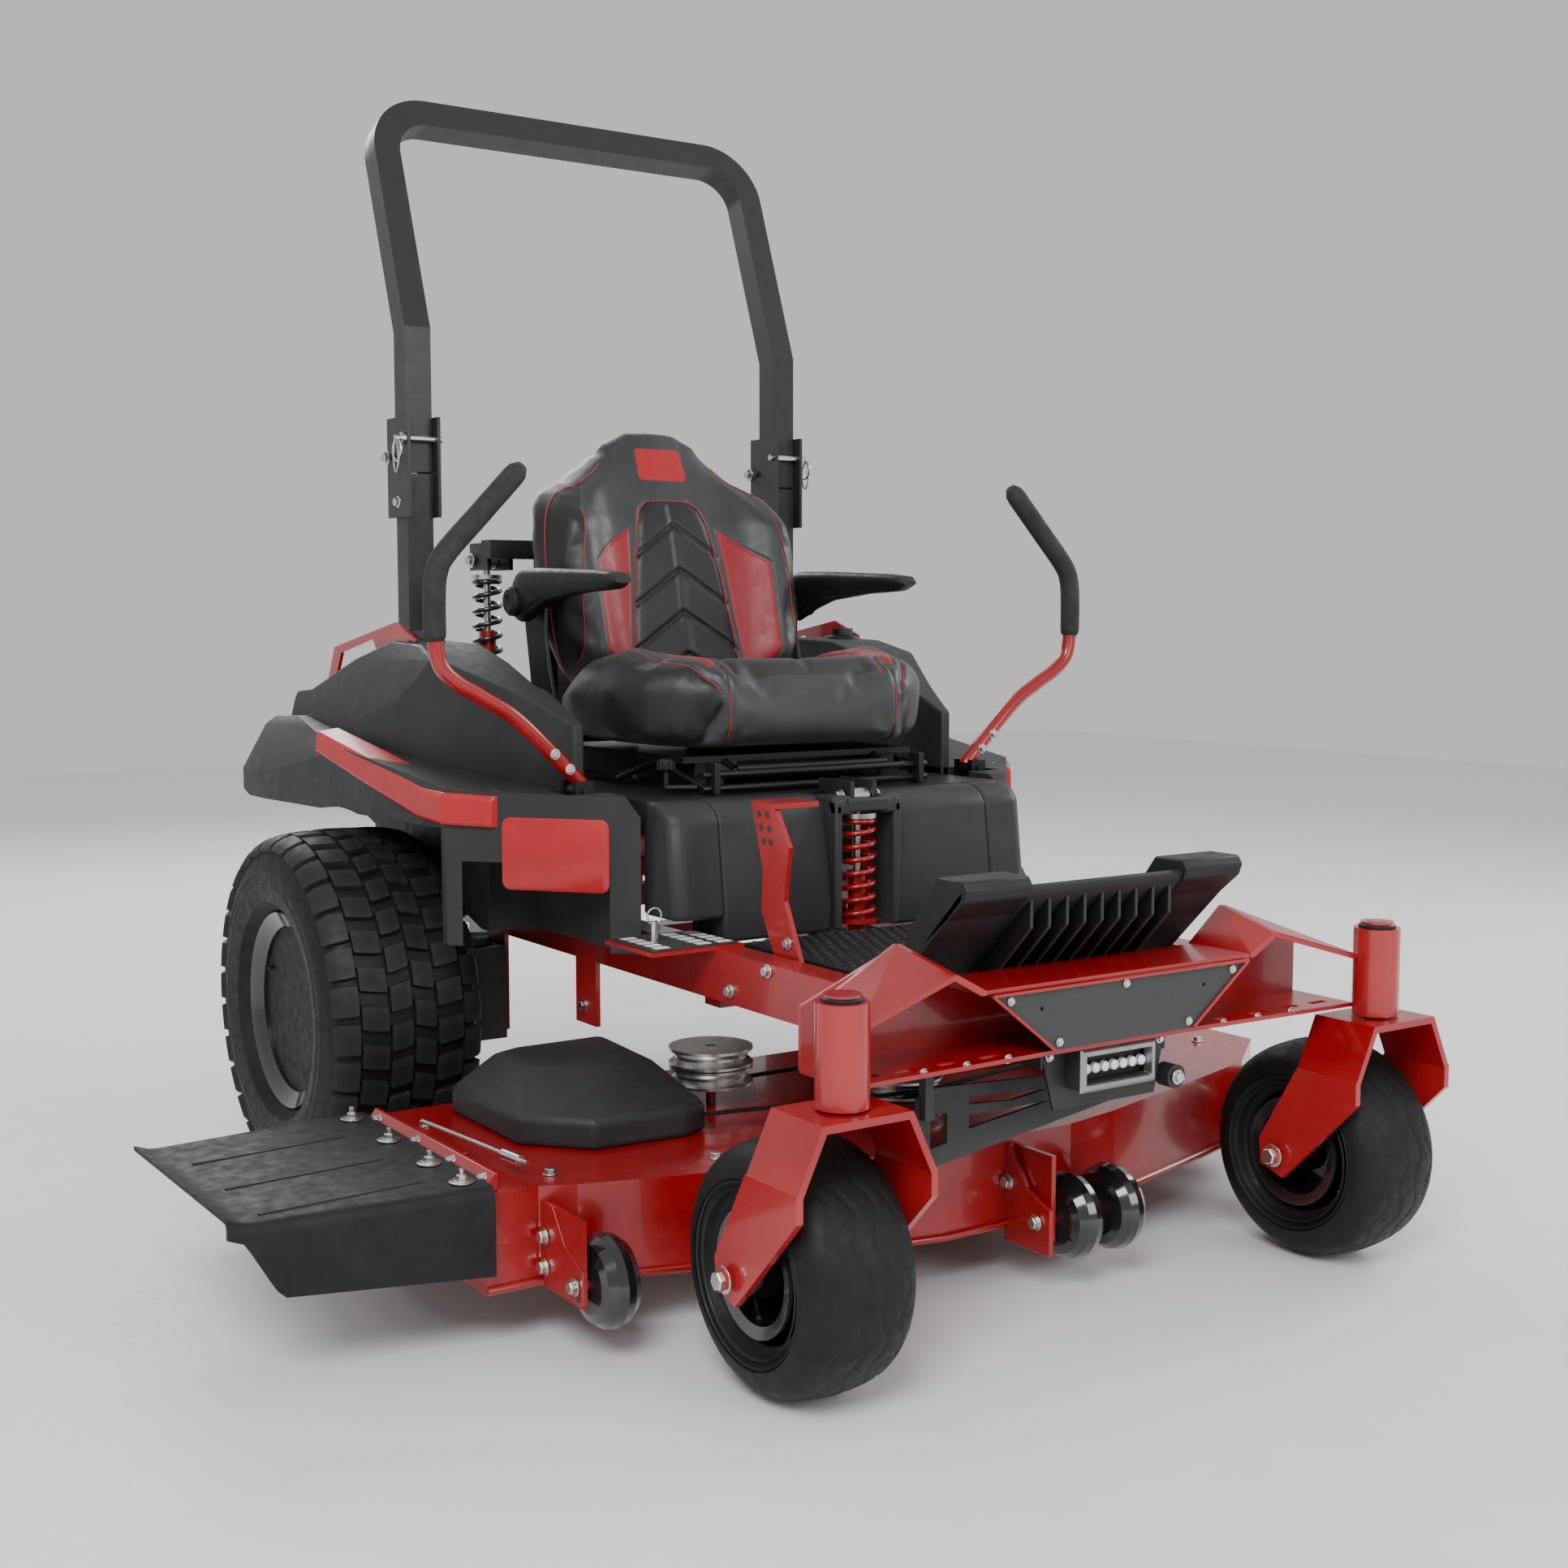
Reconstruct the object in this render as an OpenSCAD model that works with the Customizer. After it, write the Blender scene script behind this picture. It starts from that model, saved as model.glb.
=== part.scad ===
// Commercial zero turn mower with a suspended operator platform.
// Modelled from the rear axle (y = 0) and the centre plane (x = 0), front towards -y, then moved as
// a whole so that the origin is the bottom centre of its box. +x is the machine's left side.

/* [Running gear] */
// Rear axle to caster axles, casters trailing
wheelbase = 1219; // [1150:1:1300]
// Centre plane to the middle of a rear tyre
rear_track = 610; // [600:1:640]
// Rear tyre radius
tyre_r = 305; // [285:1:315]
// Rear tyre width
tyre_w = 270; // [220:1:280]
// Centre plane to a caster swivel
caster_x = 489; // [470:1:500]
// Swivel axis ahead of the caster axle
caster_trail = 91; // [60:1:100]
// Caster tyre radius
caster_r = 165; // [140:1:168]
// Caster tyre width
caster_w = 165; // [130:1:170]

/* [Roll bar] */
// Outside half width of the hoop
rops_x = 422; // [400:1:440]
// Square tube of the hoop
rops_tube = 50; // [40:1:55]
// Height of the hoop
rops_h = 1935; // [1800:1:2000]
// Height where the hoop starts to lean back
rops_bend_z = 1493; // [1450:1:1550]
// Lean of the upper part, degrees
rops_lean = 20; // [10:1:25]
// Height of the folding hinge
rops_hinge_z = 1262; // [1240:1:1300]

/* [Operator station] */
// Overall width of the seat cushion
seat_w = 640; // [560:1:645]
// Width of the seat back
back_w = 536; // [480:1:540]
// Top of the seat back
back_top = 1322; // [1280:1:1360]
// Top of the cushion
cushion_top = 872; // [860:1:885]
// Height of the foot floor
floor_z = 446; // [436:1:450]

/* [Mower deck] */
// Left edge of the deck from the centre plane
deck_left = 785; // [780:1:800]
// Right edge of the deck from the centre plane
deck_right = 765; // [760:1:780]
// Underside of the deck rim above the ground
deck_bottom = 78; // [70:1:90]
// Height of the deck shell
deck_h = 137; // [120:1:140]
// Outer edge of the discharge deflector from the centre plane
deflector_out = 1100; // [1020:1:1140]
// Centre plane to the side spindles
spindle_x = 505; // [500:1:506]
// Blade length over half
blade_r = 248; // [220:1:249]

/* [Rear] */
// Rear axle to the back of the engine guard
rear_reach = 724; // [690:1:800]

/* [Hidden] */

frame_red = "#c4121a";
plastic_grey = "#3d3f40";
trim_black = "#1b1b1c";
steel = "#b4b6b8";
rubber = "#202021";

gap = 0.3;
fit = 0.05;
elbow_bulge = 0.4;
left = 1;
right = -1;

// Box of the whole machine, for the origin
x_mid = (deck_left - deflector_out) / 2;
y_front = -wheelbase - caster_r;
y_mid = (y_front + rear_reach) / 2;

// Frame
pivot_y = -wheelbase - caster_trail;
rail_in = 275;
rail_out = 325;
rail_z0 = 405;
rail_z1 = 480;
rail_rear = 600;
engine_y = 400;
tube_r = 34;
tube_z0 = 385;
tube_z1 = 515;
stem_r = 15;
beam_back = pivot_y + 132;
beam_face = pivot_y + 28;
sway_y = pivot_y + 150;
hitch_z = 365;
hitch_r = 9.5;
wall = 5;

// Wheels
rim_r = 152;
rear_hub_r = 60;
rear_bore_r = 19;
stud_circle = 57;
caster_rim_r = 76;
caster_bolt_r = 9.5;
fork_half = 105;
fork_plate = 10;
fork_top = tube_z0 - 3;

// Roll bar and shocks
rops_y = 133;
rops_in = rops_x - rops_tube;
post_z0 = 420;
hinge_y = rops_y + rops_tube / 2 + 22;
lock_y = rops_y - 9;
hoop_corner = 115;
shock_y = 158;
rear_shock_x = 255;
rear_shock_z = [812, 1076];
front_shock_y = -669;
front_shock_z = [440, 686];
rod_r = 7;
damper_r = 16;
spring_wire = 4.2;
spring_turns = 8;

// Platform and seat
plate_z = 690;
pan_z = 748;
seat_front = -567;
ride_x = 350;
arm_y = -72;
arm_z = 1000;
cover_y = -690;
lip_y = pivot_y + 62;
light_y = pivot_y + 62;
foot_half = 255;

// Lift pedal
lift_pivot = [-232, -878, 441];

// Control levers
lever_y = -467;
lever_pivot = [400, lever_y, 700];
drive_z = 672;
lever_tube_r = 12.5;
grip_r = 17.5;
lever_points = [[390, lever_y, 716], [515, lever_y, 835], [593, lever_y, 866], [634, lever_y, 905],
    [638, lever_y, 927]];
grip_points = [[638, lever_y, 930], [638, lever_y, 1045], [486, lever_y, 1208]];

// Deck
deck_top = deck_bottom + deck_h;
deck_rear = -418;
deck_front = -955;
deck_nose = -1052;
sheet = 5;
spindle_y = -685;
centre_spindle_y = -787;
spindle_r = 12;
idler_at = [-263, -644];
pulley_r = 62;
idler_r = 60;
belt_z = deck_top + 26;
deflector_hinge = [-deck_right + 4, 0, deck_top + 13];
corner_y = -890;
deflector_y = [corner_y - 16, -440];
gauge_r = 64;
gauge_z = 105;
gauge_side = [641, -990];
gauge_pair_y = -1122;

module box(x, y, z)
    translate([x[0], y[0], z[0]])
        cube([x[1] - x[0], y[1] - y[0], z[1] - z[0]]);

// From axle and centre plane to the bottom centre of the box
module placed()
    translate([-x_mid, -y_mid, 0])
        children();

module side(s)
    mirror([s < 0 ? 1 : 0, 0, 0])
        children();

module both()
    for (s = [left, right])
        side(s)
            children();

// Outline in (y, z), from x[0] to x[1]
module along_x(x)
    translate([x[0], 0, 0])
        rotate([90, 0, 90])
            linear_extrude(x[1] - x[0])
                children();

// Outline in (x, z), from y[0] to y[1]
module along_y(y)
    translate([0, y[1], 0])
        rotate([90, 0, 0])
            linear_extrude(y[1] - y[0])
                children();

module along_z(z)
    translate([0, 0, z[0]])
        linear_extrude(z[1] - z[0])
            children();

module rod(a, b, r) {
    v = b - a;
    length = norm(v);
    translate(a)
        rotate([0, acos(v[2] / length), atan2(v[1], v[0])])
            cylinder(h = length, r = r, $fn = 32);
}

module rod_path(points, r) {
    for (i = [1:len(points) - 1])
        rod(points[i - 1], points[i], r);
    for (i = [1:len(points) - 2])
        translate(points[i])
            sphere(r = r + elbow_bulge, $fn = 32);
}

// Cylinder along x about (y, z)
module disc_x(x, y, z, r)
    translate([x[0], y, z])
        rotate([0, 90, 0])
            cylinder(h = x[1] - x[0], r = r, $fn = 64);

// Turned section in (radius, offset) about an axle along x
module turned_x(x, y, z)
    translate([x, y, z])
        rotate([0, 90, 0])
            rotate_extrude($fn = 96)
                children();

module hex_x(x, y, z, r)
    translate([x[0], y, z])
        rotate([0, 90, 0])
            cylinder(h = x[1] - x[0], r = r, $fn = 6);

module square_tube(x, y, z, t)
    difference() {
        box(x, y, z);
        box([x[0] + t, x[1] - t], [y[0] - 1, y[1] + 1], [z[0] + t, z[1] - t]);
    }

// ---- Frame ----

module frame_weldment() placed() {
    color(frame_red) {
        both() {
            square_tube([rail_in, rail_out], [beam_back + 6, rail_rear], [rail_z0, rail_z1], wall);
            // Roll bar foot, hanger and rear side plate
            box([rail_out, rops_in], [rops_y - 30, rops_y + rops_tube + 30], [post_z0, rail_z1 + 90]);
            box([rail_out, rail_out + 8], [-400, -330], [300, rail_z1 + 10]);
            box([rail_out, rail_out + 8], [-60, 90], [235, rail_z0 + 40]);
            along_x([rail_in - 8, rail_in])
                polygon([[rail_rear - 160, rail_z0], [rail_rear, rail_z0], [rail_rear, 620],
                    [rail_rear - 60, 620]]);
        }
        for (y = [-330, 120, rail_rear - 60])
            box([-rail_in, rail_in], [y, y + 50], [rail_z0, rail_z0 + 40]);
        // Pivot pin of the lift pedal
        disc_x([-rail_in - 1, lift_pivot[0] - 25], lift_pivot[1], lift_pivot[2], 8);
        // Engine plate and rear plate with the hitch hole
        difference() {
            box([-rail_out, rail_out], [rops_y + rops_tube + 40, rail_rear], [rail_z1 - 2, rail_z1 + 8]);
            translate([0, engine_y, rail_z1 - 10])
                cylinder(h = 30, r = 24, $fn = 48);
        }
        difference() {
            box([-rail_out, rail_out], [rail_rear - 8, rail_rear + 2], [330, rail_z0 + 12]);
            translate([0, rail_rear - 20, hitch_z])
                rotate([-90, 0, 0])
                    cylinder(h = 40, r = hitch_r, $fn = 48);
        }
    }
}

// Sloping roof plate of one end of the beam
module beam_roof() {
    hull() {
        translate([300, beam_back, 541])
            cube([8, 6, 6]);
        translate([292, beam_face - 5, 516])
            cube([8, 6, 6]);
        translate([449, beam_back - 30, 480])
            cube([8, 6, 6]);
        translate([449, beam_face - 20, 470])
            cube([8, 6, 6]);
    }
    hull() {
        translate([300, beam_back, 541])
            cube([8, 6, 6]);
        translate([292, beam_face - 5, 516])
            cube([8, 6, 6]);
        translate([238, beam_back, 490])
            cube([8, 6, 6]);
        translate([244, beam_face - 5, 490])
            cube([8, 6, 6]);
    }
}

module front_beam() placed() {
    color(frame_red) {
        both() {
            difference() {
                translate([caster_x, pivot_y, tube_z0])
                    cylinder(h = tube_z1 - tube_z0, r = tube_r, $fn = 64);
                translate([caster_x, pivot_y, tube_z0 - 1])
                    cylinder(h = tube_z1 - tube_z0 + 2, r = stem_r + fit, $fn = 64);
            }
            beam_roof();
            // Back wall, floor with slots and end wall
            along_y([beam_back, beam_back + 6])
                polygon([[0, 400], [caster_x - 30, 398], [caster_x - 30, 482], [305, 545], [240, 494],
                    [0, 494]]);
            difference() {
                along_z([396, 402])
                    polygon([[0, beam_face], [130, beam_face], [caster_x - 28, beam_face - 10],
                        [caster_x - 28, beam_back], [0, beam_back]]);
                for (x = [200, 270, 340, 400])
                    box([x, x + 34], [beam_face + 14, beam_face + 26], [390, 410]);
            }
        }
        box([-250, 250], [beam_face - 4, beam_back], [490, 496]);
    }
}

module front_panel() placed() {
    color(plastic_grey)
        difference() {
            along_y([beam_face - 6, beam_face])
                polygon([[-236, 488], [236, 488], [128, 404], [-128, 404]]);
            for (x = [-150, 150])
                translate([x, beam_face, 462])
                    rotate([90, 0, 0])
                        cylinder(h = 12, r = 3, $fn = 24);
        }
}

module light_bracket() placed() {
    color(trim_black) {
        along_y([light_y, light_y + 4])
            polygon([[-116, 396], [116, 396], [96, 308], [-92, 308]]);
        both()
            box([112, 116], [light_y, light_y + 60], [368, 396]);
        translate([122, light_y + 8, 330])
            rotate([90, 0, 0])
                cylinder(h = 26, r = 17, $fn = 48);
    }
}

module light_bar() placed() {
    color(trim_black)
        difference() {
            box([-68, 68], [light_y - 26, light_y], [336, 392]);
            box([-60, 60], [light_y - 27, light_y - 12], [346, 382]);
        }
    color("white")
        for (i = [-3:3])
            translate([i * 17, light_y - 12, 364])
                rotate([90, 0, 0])
                    cylinder(h = 8, r1 = 4, r2 = 8, $fn = 32);
}

module sway_arm() placed() {
    color(plastic_grey) {
        difference() {
            along_y([sway_y, sway_y + 6])
                polygon([[-257, 226], [-257, 329], [-224, 340], [182, 319], [196, 306], [182, 290]]);
            along_y([sway_y - 1, sway_y + 7])
                polygon([[-234, 257], [-234, 306], [-205, 302], [-205, 261]]);
            along_y([sway_y - 1, sway_y + 7])
                polygon([[-167, 275], [-167, 294], [-17, 294]]);
            along_y([sway_y - 1, sway_y + 7])
                polygon([[-167, 309], [-167, 321], [-27, 311], [-89, 304]]);
        }
        // Hangers on the back of the beam
        for (x = [-252, 168])
            box([x, x + 14], [beam_back + 6, sway_y + 3], [300, 430]);
    }
}

// ---- Side pods ----

// Low box in front of and over the wheel, with the narrower tower behind the control levers
module pod_solid(t) {
    plan = [[366, -609], [578, -360], [645, 290], [645, 405], [376, 405], [376, -280], [366, -300]];
    profile = [[-609, 455], [-609, 668], [-560, 697], [-400, 700], [300, 790], [405, 785], [405, 650],
        [-250, 455]];
    section = [[355, 455], [355, 800], [560, 800], [600, 770], [645, 690], [645, 640], [600, 600],
        [578, 455]];
    tower_plan = [[366, -470], [371, -470], [420, -330], [540, -90], [560, 380], [540, 405], [376, 405],
        [376, -280], [366, -300]];
    tower_profile = [[-470, 600], [-470, 783], [-70, 925], [60, 930], [330, 838], [400, 832],
        [405, 600]];
    intersection() {
        along_z([440, 940])
            offset(delta = -t)
                polygon(plan);
        along_x([350, 650])
            offset(delta = -t)
                polygon(profile);
        along_y([-620, 420])
            offset(delta = -t)
                polygon(section);
    }
    intersection() {
        along_z([600, 940])
            offset(delta = -t)
                polygon(tower_plan);
        along_x([350, 650])
            offset(delta = -t)
                polygon(tower_profile);
    }
}

module fender(s)
    color(plastic_grey)
        side(s)
            difference() {
                pod_solid(0);
                pod_solid(wall);
                box([380, 560], [-570, -280], [440, 600]);
                disc_x([466, 700], 0, 300, tyre_r + 42);
                box([466, 700], [-tyre_r - 42, 420], [300, 640]);
                // Way through for the roll bar post, the filler neck and the control lever
                box([360, 432], [120, 205], [440, 1000]);
                translate([450, 0, 880])
                    cylinder(h = 80, r = 32, $fn = 48);
                box([360, 438], [lever_y - 40, lever_y + 38], [648, 830]);
            }

module fender_left() placed() fender(left);

module fender_right() placed() fender(right);

module fuel_tanks() placed()
    color(trim_black)
        both() {
            box([386, 448], [-200, 106], [572, 800]);
            translate([434, 0, 799])
                cylinder(h = 102, r = 14, $fn = 48);
            translate([450, 0, 900])
                cylinder(h = 48, r = 22, $fn = 48);
        }

module handle_plates() placed()
    color(frame_red)
        both()
            difference() {
                along_x([474, 480])
                    polygon([[-20, 928], [-20, 935], [60, 963], [355, 915], [404, 832], [400, 832],
                        [330, 838], [60, 930]]);
                along_x([470, 490])
                    polygon([[150, 914], [166, 932], [322, 904], [346, 864], [335, 858]]);
            }

// ---- Engine end ----

module engine() placed() {
    color("#2b2c2e") {
        translate([0, engine_y, rail_z1 + 8])
            cylinder(h = 170, r = 130, $fn = 64);
        for (s = [left, right])
            translate([s * 90, engine_y, 600])
                rotate([0, s * 75, 0])
                    for (i = [0:5])
                        translate([0, 0, 40 + i * 16])
                            cylinder(h = 8, r = 62, $fn = 48);
        for (s = [left, right])
            translate([s * 90, engine_y, 600])
                rotate([0, s * 75, 0])
                    cylinder(h = 150, r = 44, $fn = 48);
        translate([0, engine_y, 657])
            cylinder(h = 33, r = 60, $fn = 48);
        translate([0, engine_y, 360])
            cylinder(h = 130, r = 14, $fn = 32);
    }
    color("#3a3a3a") {
        disc_x([-170, 170], 640, 560, 50);
        rod([-120, 560, 600], [-120, 640, 560], 16);
        rod([120, 560, 600], [120, 640, 560], 16);
    }
    color("#2b2c2e") {
        rod([-60, 440, 580], [-120, 562, 600], 16);
        rod([60, 440, 580], [120, 562, 600], 16);
    }
}

module engine_cover() placed() {
    color(trim_black) {
        translate([0, engine_y, 690])
            cylinder(h = 45, r = 165, $fn = 64);
        translate([0, engine_y, 735])
            cylinder(h = 26, r1 = 160, r2 = 120, $fn = 64);
        box([-110, 110], [230, 330], [700, 800]);
        translate([0, 280, 800])
            cylinder(h = 24, r = 44, $fn = 48);
    }
}

// Strap bent round the engine, drawn as its outline in plan
module guard_outline(inset) {
    y0 = rail_rear - 60;
    y1 = rear_reach - inset;
    x1 = 316 - inset;
    polygon([[-x1, y0 - 1], [-x1, y1 - 74], [-x1 + 80, y1], [x1 - 80, y1], [x1, y1 - 74], [x1, y0 - 1]]);
}

module rear_guard() placed() {
    guard_t = 12;
    color(trim_black) {
        for (z = [rail_z1 + 8 + gap, 612])
            along_z([z, z + 34])
                difference() {
                    guard_outline(0);
                    translate([0, -2])
                        guard_outline(guard_t);
                }
        for (x = [-150, 130])
            box([x, x + 20], [rear_reach - guard_t, rear_reach - 2], [500, 640]);
        both()
            box([304, 314], [rail_rear - 60, rail_rear - 20], [rail_z1 + 8.3, 640]);
    }
}

module transaxles() placed()
    color("#55575a")
        both() {
            box([340, 430], [-80, 80], [225, 390]);
            disc_x([430, 452], 0, tyre_r, 52);
            disc_x([452, rear_track + 20], 0, tyre_r, rear_bore_r - fit);
            translate([385, -20, 390])
                cylinder(h = 14, r = 40, $fn = 48);
        }

// ---- Roll bar ----

module rops_posts() placed() {
    color(trim_black)
        both() {
            difference() {
                box([rops_in, rops_x], [rops_y, rops_y + rops_tube], [post_z0, rops_hinge_z - 32]);
                box([rops_in + 4, rops_x - 4], [rops_y + 4, rops_y + rops_tube - 4],
                    [post_z0 + 60, rops_hinge_z - 31]);
            }
            box([rops_in - 1, rops_x + 1], [rops_y, rops_y + rops_tube],
                [rops_hinge_z - 110, rops_hinge_z - 32]);
            // Hinge cheeks with the hinge and lock holes
            for (x = [rops_in - 7, rops_x + 1])
                difference() {
                    box([x, x + 6], [rops_y - 22, rops_y + rops_tube + 22],
                        [rops_hinge_z - 110, rops_hinge_z + 70]);
                    disc_x([x - 1, x + 7], hinge_y, rops_hinge_z, 6 + fit);
                    disc_x([x - 1, x + 7], lock_y, rops_hinge_z + 30, 6 + fit);
                }
        }
    color(steel)
        both()
            disc_x([rops_in - 14, rops_x + 14], hinge_y, rops_hinge_z, 6);
}

// Square hoop drawn flat, then leaned back above the bend
module hoop_outline(inset)
    difference() {
        top = (rops_h - rops_bend_z) / cos(rops_lean);
        h = top - inset;
        r = hoop_corner - inset;
        x = rops_x - inset;
        union() {
            translate([-x, 0])
                square([2 * x, h - r]);
            translate([-x + r, 0])
                square([2 * (x - r), h]);
            for (s = [-1, 1])
                translate([s * (x - r), h - r])
                    circle(r = r, $fn = 64);
        }
    }

module rops_hoop() placed() {
    color(trim_black)
        difference() {
            union() {
                both()
                    box([rops_in, rops_x], [rops_y, rops_y + rops_tube],
                        [rops_hinge_z - 28, rops_bend_z]);
                both()
                    box([rops_in, rops_x], [rops_y + rops_tube - 1, hinge_y + 12],
                        [rops_hinge_z - 16, rops_hinge_z + 20]);
                translate([0, rops_y, rops_bend_z])
                    rotate([-rops_lean, 0, 0])
                        along_y([0, rops_tube])
                            difference() {
                                hoop_outline(0);
                                translate([0, -1])
                                    hoop_outline(rops_tube);
                            }
            }
            both()
                disc_x([rops_in - 1, rops_x + 1], hinge_y, rops_hinge_z, 6 + fit);
        }
}

module rops_pin(s)
    side(s) {
        pin_z = rops_hinge_z + 30;
        color(steel) {
            disc_x([rops_in - 14, rops_x + 26], lock_y, pin_z, 6);
            disc_x([rops_x + 8, rops_x + 14], lock_y, pin_z, 11);
            translate([rops_x + 22, lock_y, pin_z - 22])
                rotate([0, 90, 0])
                    rotate_extrude($fn = 48)
                        translate([18, 0])
                            circle(r = 2.5, $fn = 16);
        }
    }

module rops_pin_left() placed() rops_pin(left);

module rops_pin_right() placed() rops_pin(right);

// ---- Casters ----

module caster_fork(s)
    side(s)
        translate([caster_x, 0, 0]) {
            leg = fork_half - fork_plate;
            color(frame_red) {
                difference() {
                    // Folded strap: crown, two chamfered corners, two legs
                    translate([0, pivot_y + 55, 0])
                        rotate([90, 0, 0])
                            linear_extrude(110)
                                polygon([[-fork_half, 300], [-fork_half + 38, fork_top],
                                    [fork_half - 38, fork_top], [fork_half, 300],
                                    [leg, 300], [leg - 34, fork_top - fork_plate],
                                    [34 - leg, fork_top - fork_plate], [-leg, 300]]);
                    translate([0, pivot_y, fork_top - 40])
                        cylinder(h = 60, r = stem_r - 1, $fn = 48);
                }
                for (x = [-fork_half, leg])
                    difference() {
                        along_x([x, x + fork_plate])
                            polygon([[pivot_y - 55, 305], [pivot_y + 55, 305], [-wheelbase + 34, 185],
                                [-wheelbase + 30, 146], [-wheelbase - 12, 132],
                                [-wheelbase - 40, 160], [pivot_y - 55, 270]]);
                        disc_x([x - 1, x + fork_plate + 1], -wheelbase, caster_r, caster_bolt_r + 0.02);
                    }
            }
            color(steel) {
                translate([0, pivot_y, fork_top - 12])
                    cylinder(h = tube_z1 - fork_top + 22, r = stem_r, $fn = 64);
                translate([0, pivot_y, tube_z1 + gap])
                    cylinder(h = 9, r = 24, $fn = 48);
                disc_x([-fork_half - 4, fork_half + 4], -wheelbase, caster_r, caster_bolt_r);
                for (x = [-fork_half - 14, fork_half + gap])
                    hex_x([x, x + 14 - gap], -wheelbase, caster_r, 15);
            }
        }

module caster_fork_left() placed() caster_fork(left);

module caster_fork_right() placed() caster_fork(right);

module caster_rim(s)
    color(trim_black)
        side(s)
            turned_x(caster_x, -wheelbase, caster_r)
                polygon([[caster_bolt_r + fit, -90], [24, -90], [28, -30], [caster_rim_r - 14, -26],
                    [caster_rim_r - 10, -68], [caster_rim_r + 6, -72], [caster_rim_r + 6, -66],
                    [caster_rim_r - 2, -60], [caster_rim_r - 2, 60], [caster_rim_r + 6, 66],
                    [caster_rim_r + 6, 72], [caster_rim_r - 10, 68], [caster_rim_r - 14, -20],
                    [28, -20], [24, 90], [caster_bolt_r + fit, 90]]);

module caster_rim_left() placed() caster_rim(left);

module caster_rim_right() placed() caster_rim(right);

module caster_tyre(s)
    color(rubber)
        side(s)
            turned_x(caster_x, -wheelbase, caster_r) {
                w = caster_w / 2;
                polygon([[caster_rim_r - 2, -58], [caster_rim_r + 8, -62], [caster_rim_r + 16, -w + 8],
                    [caster_r - 46, -w], [caster_r - 22, -w + 8], [caster_r - 7, -w + 30],
                    [caster_r, -w + 58], [caster_r, w - 58], [caster_r - 7, w - 30],
                    [caster_r - 22, w - 8], [caster_r - 46, w], [caster_rim_r + 16, w - 8],
                    [caster_rim_r + 8, 62], [caster_rim_r - 2, 58]]);
            }

module caster_tyre_left() placed() caster_tyre(left);

module caster_tyre_right() placed() caster_tyre(right);

// ---- Rear wheels ----

module rear_rim(s)
    side(s) {
        w = tyre_w / 2;
        color(trim_black)
            turned_x(rear_track, 0, tyre_r)
                polygon([[rear_bore_r, -60], [rear_hub_r, -60], [rear_hub_r + 12, -24],
                    [rim_r - 22, 6], [rim_r - 10, -w + 40], [rim_r + 15, -w + 24],
                    [rim_r + 15, -w + 30], [rim_r, -w + 44], [rim_r, w - 44],
                    [rim_r + 15, w - 30], [rim_r + 15, w - 24], [rim_r - 10, w - 40],
                    [rim_r - 22, 16], [rear_hub_r, -10], [rear_bore_r, -10]]);
        color(steel) {
            for (a = [0:72:359])
                translate([rear_track - 64, 0, tyre_r])
                    rotate([a, 0, 0])
                        translate([0, stud_circle, 0])
                            rotate([0, 90, 0])
                                cylinder(h = 66, r = 7, $fn = 24);
            difference() {
                disc_x([rear_track - 10, rear_track + 24], 0, tyre_r, 30);
                disc_x([rear_track - 11, rear_track + 20.5], 0, tyre_r, rear_bore_r);
            }
        }
    }

module rear_rim_left() placed() rear_rim(left);

module rear_rim_right() placed() rear_rim(right);

module rear_tyre(s)
    color(rubber)
        side(s)
            turned_x(rear_track, 0, tyre_r) {
                w = tyre_w / 2;
                polygon([[rim_r, -w + 46], [rim_r + 16, -w + 32], [rim_r + 40, -w + 4],
                    [rim_r + 75, -w], [tyre_r - 45, -w + 3], [tyre_r - 12, -w + 18],
                    [tyre_r - 4, -w + 46], [tyre_r, -w + 80], [tyre_r, w - 80],
                    [tyre_r - 4, w - 46], [tyre_r - 12, w - 18], [tyre_r - 45, w - 3],
                    [rim_r + 75, w], [rim_r + 40, w - 4], [rim_r + 16, w - 32], [rim_r, w - 46]]);
            }

module rear_tyre_left() placed() rear_tyre(left);

module rear_tyre_right() placed() rear_tyre(right);

// ---- Suspended platform ----

module platform_deck() placed() {
    color(trim_black) {
        box([-ride_x, ride_x], [-600, 110], [plate_z - 12, plate_z]);
        both() {
            box([ride_x - 50, ride_x], [-600, 110], [plate_z - 52, plate_z - 12]);
            box([150, 182], [60, 110], [plate_z + gap, 1092]);
        }
        // Cross tube behind the seat with the shock ears
        box([-292, 292], [62, 102], [1078, 1112]);
        both()
            difference() {
                union()
                    for (x = [rear_shock_x - 26, rear_shock_x + 18])
                        box([x, x + 8], [100, shock_y + 18], [rear_shock_z[1] - 18, 1108]);
                disc_x([rear_shock_x - 40, rear_shock_x + 40], shock_y, rear_shock_z[1], 6 + fit);
            }
        // Neck over the front shock
        difference() {
            union()
                for (x = [-26, 18])
                    box([x, x + 8], [front_shock_y - 18, -598], [front_shock_z[1] - 18, plate_z + 22]);
            disc_x([-30, 30], front_shock_y, front_shock_z[1], 6 + fit);
        }
        // Floor carriers under the foot floor
        both()
            box([222, 250], [-1080, -570], [floor_z, floor_z + 14]);
        both()
            box([222, 250], [-592, -570], [floor_z, plate_z - 12]);
    }
    color(steel) {
        both()
            disc_x([rear_shock_x - 32, rear_shock_x + 32], shock_y, rear_shock_z[1], 6);
        disc_x([-34, 34], front_shock_y, front_shock_z[1], 6);
    }
}

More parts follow.
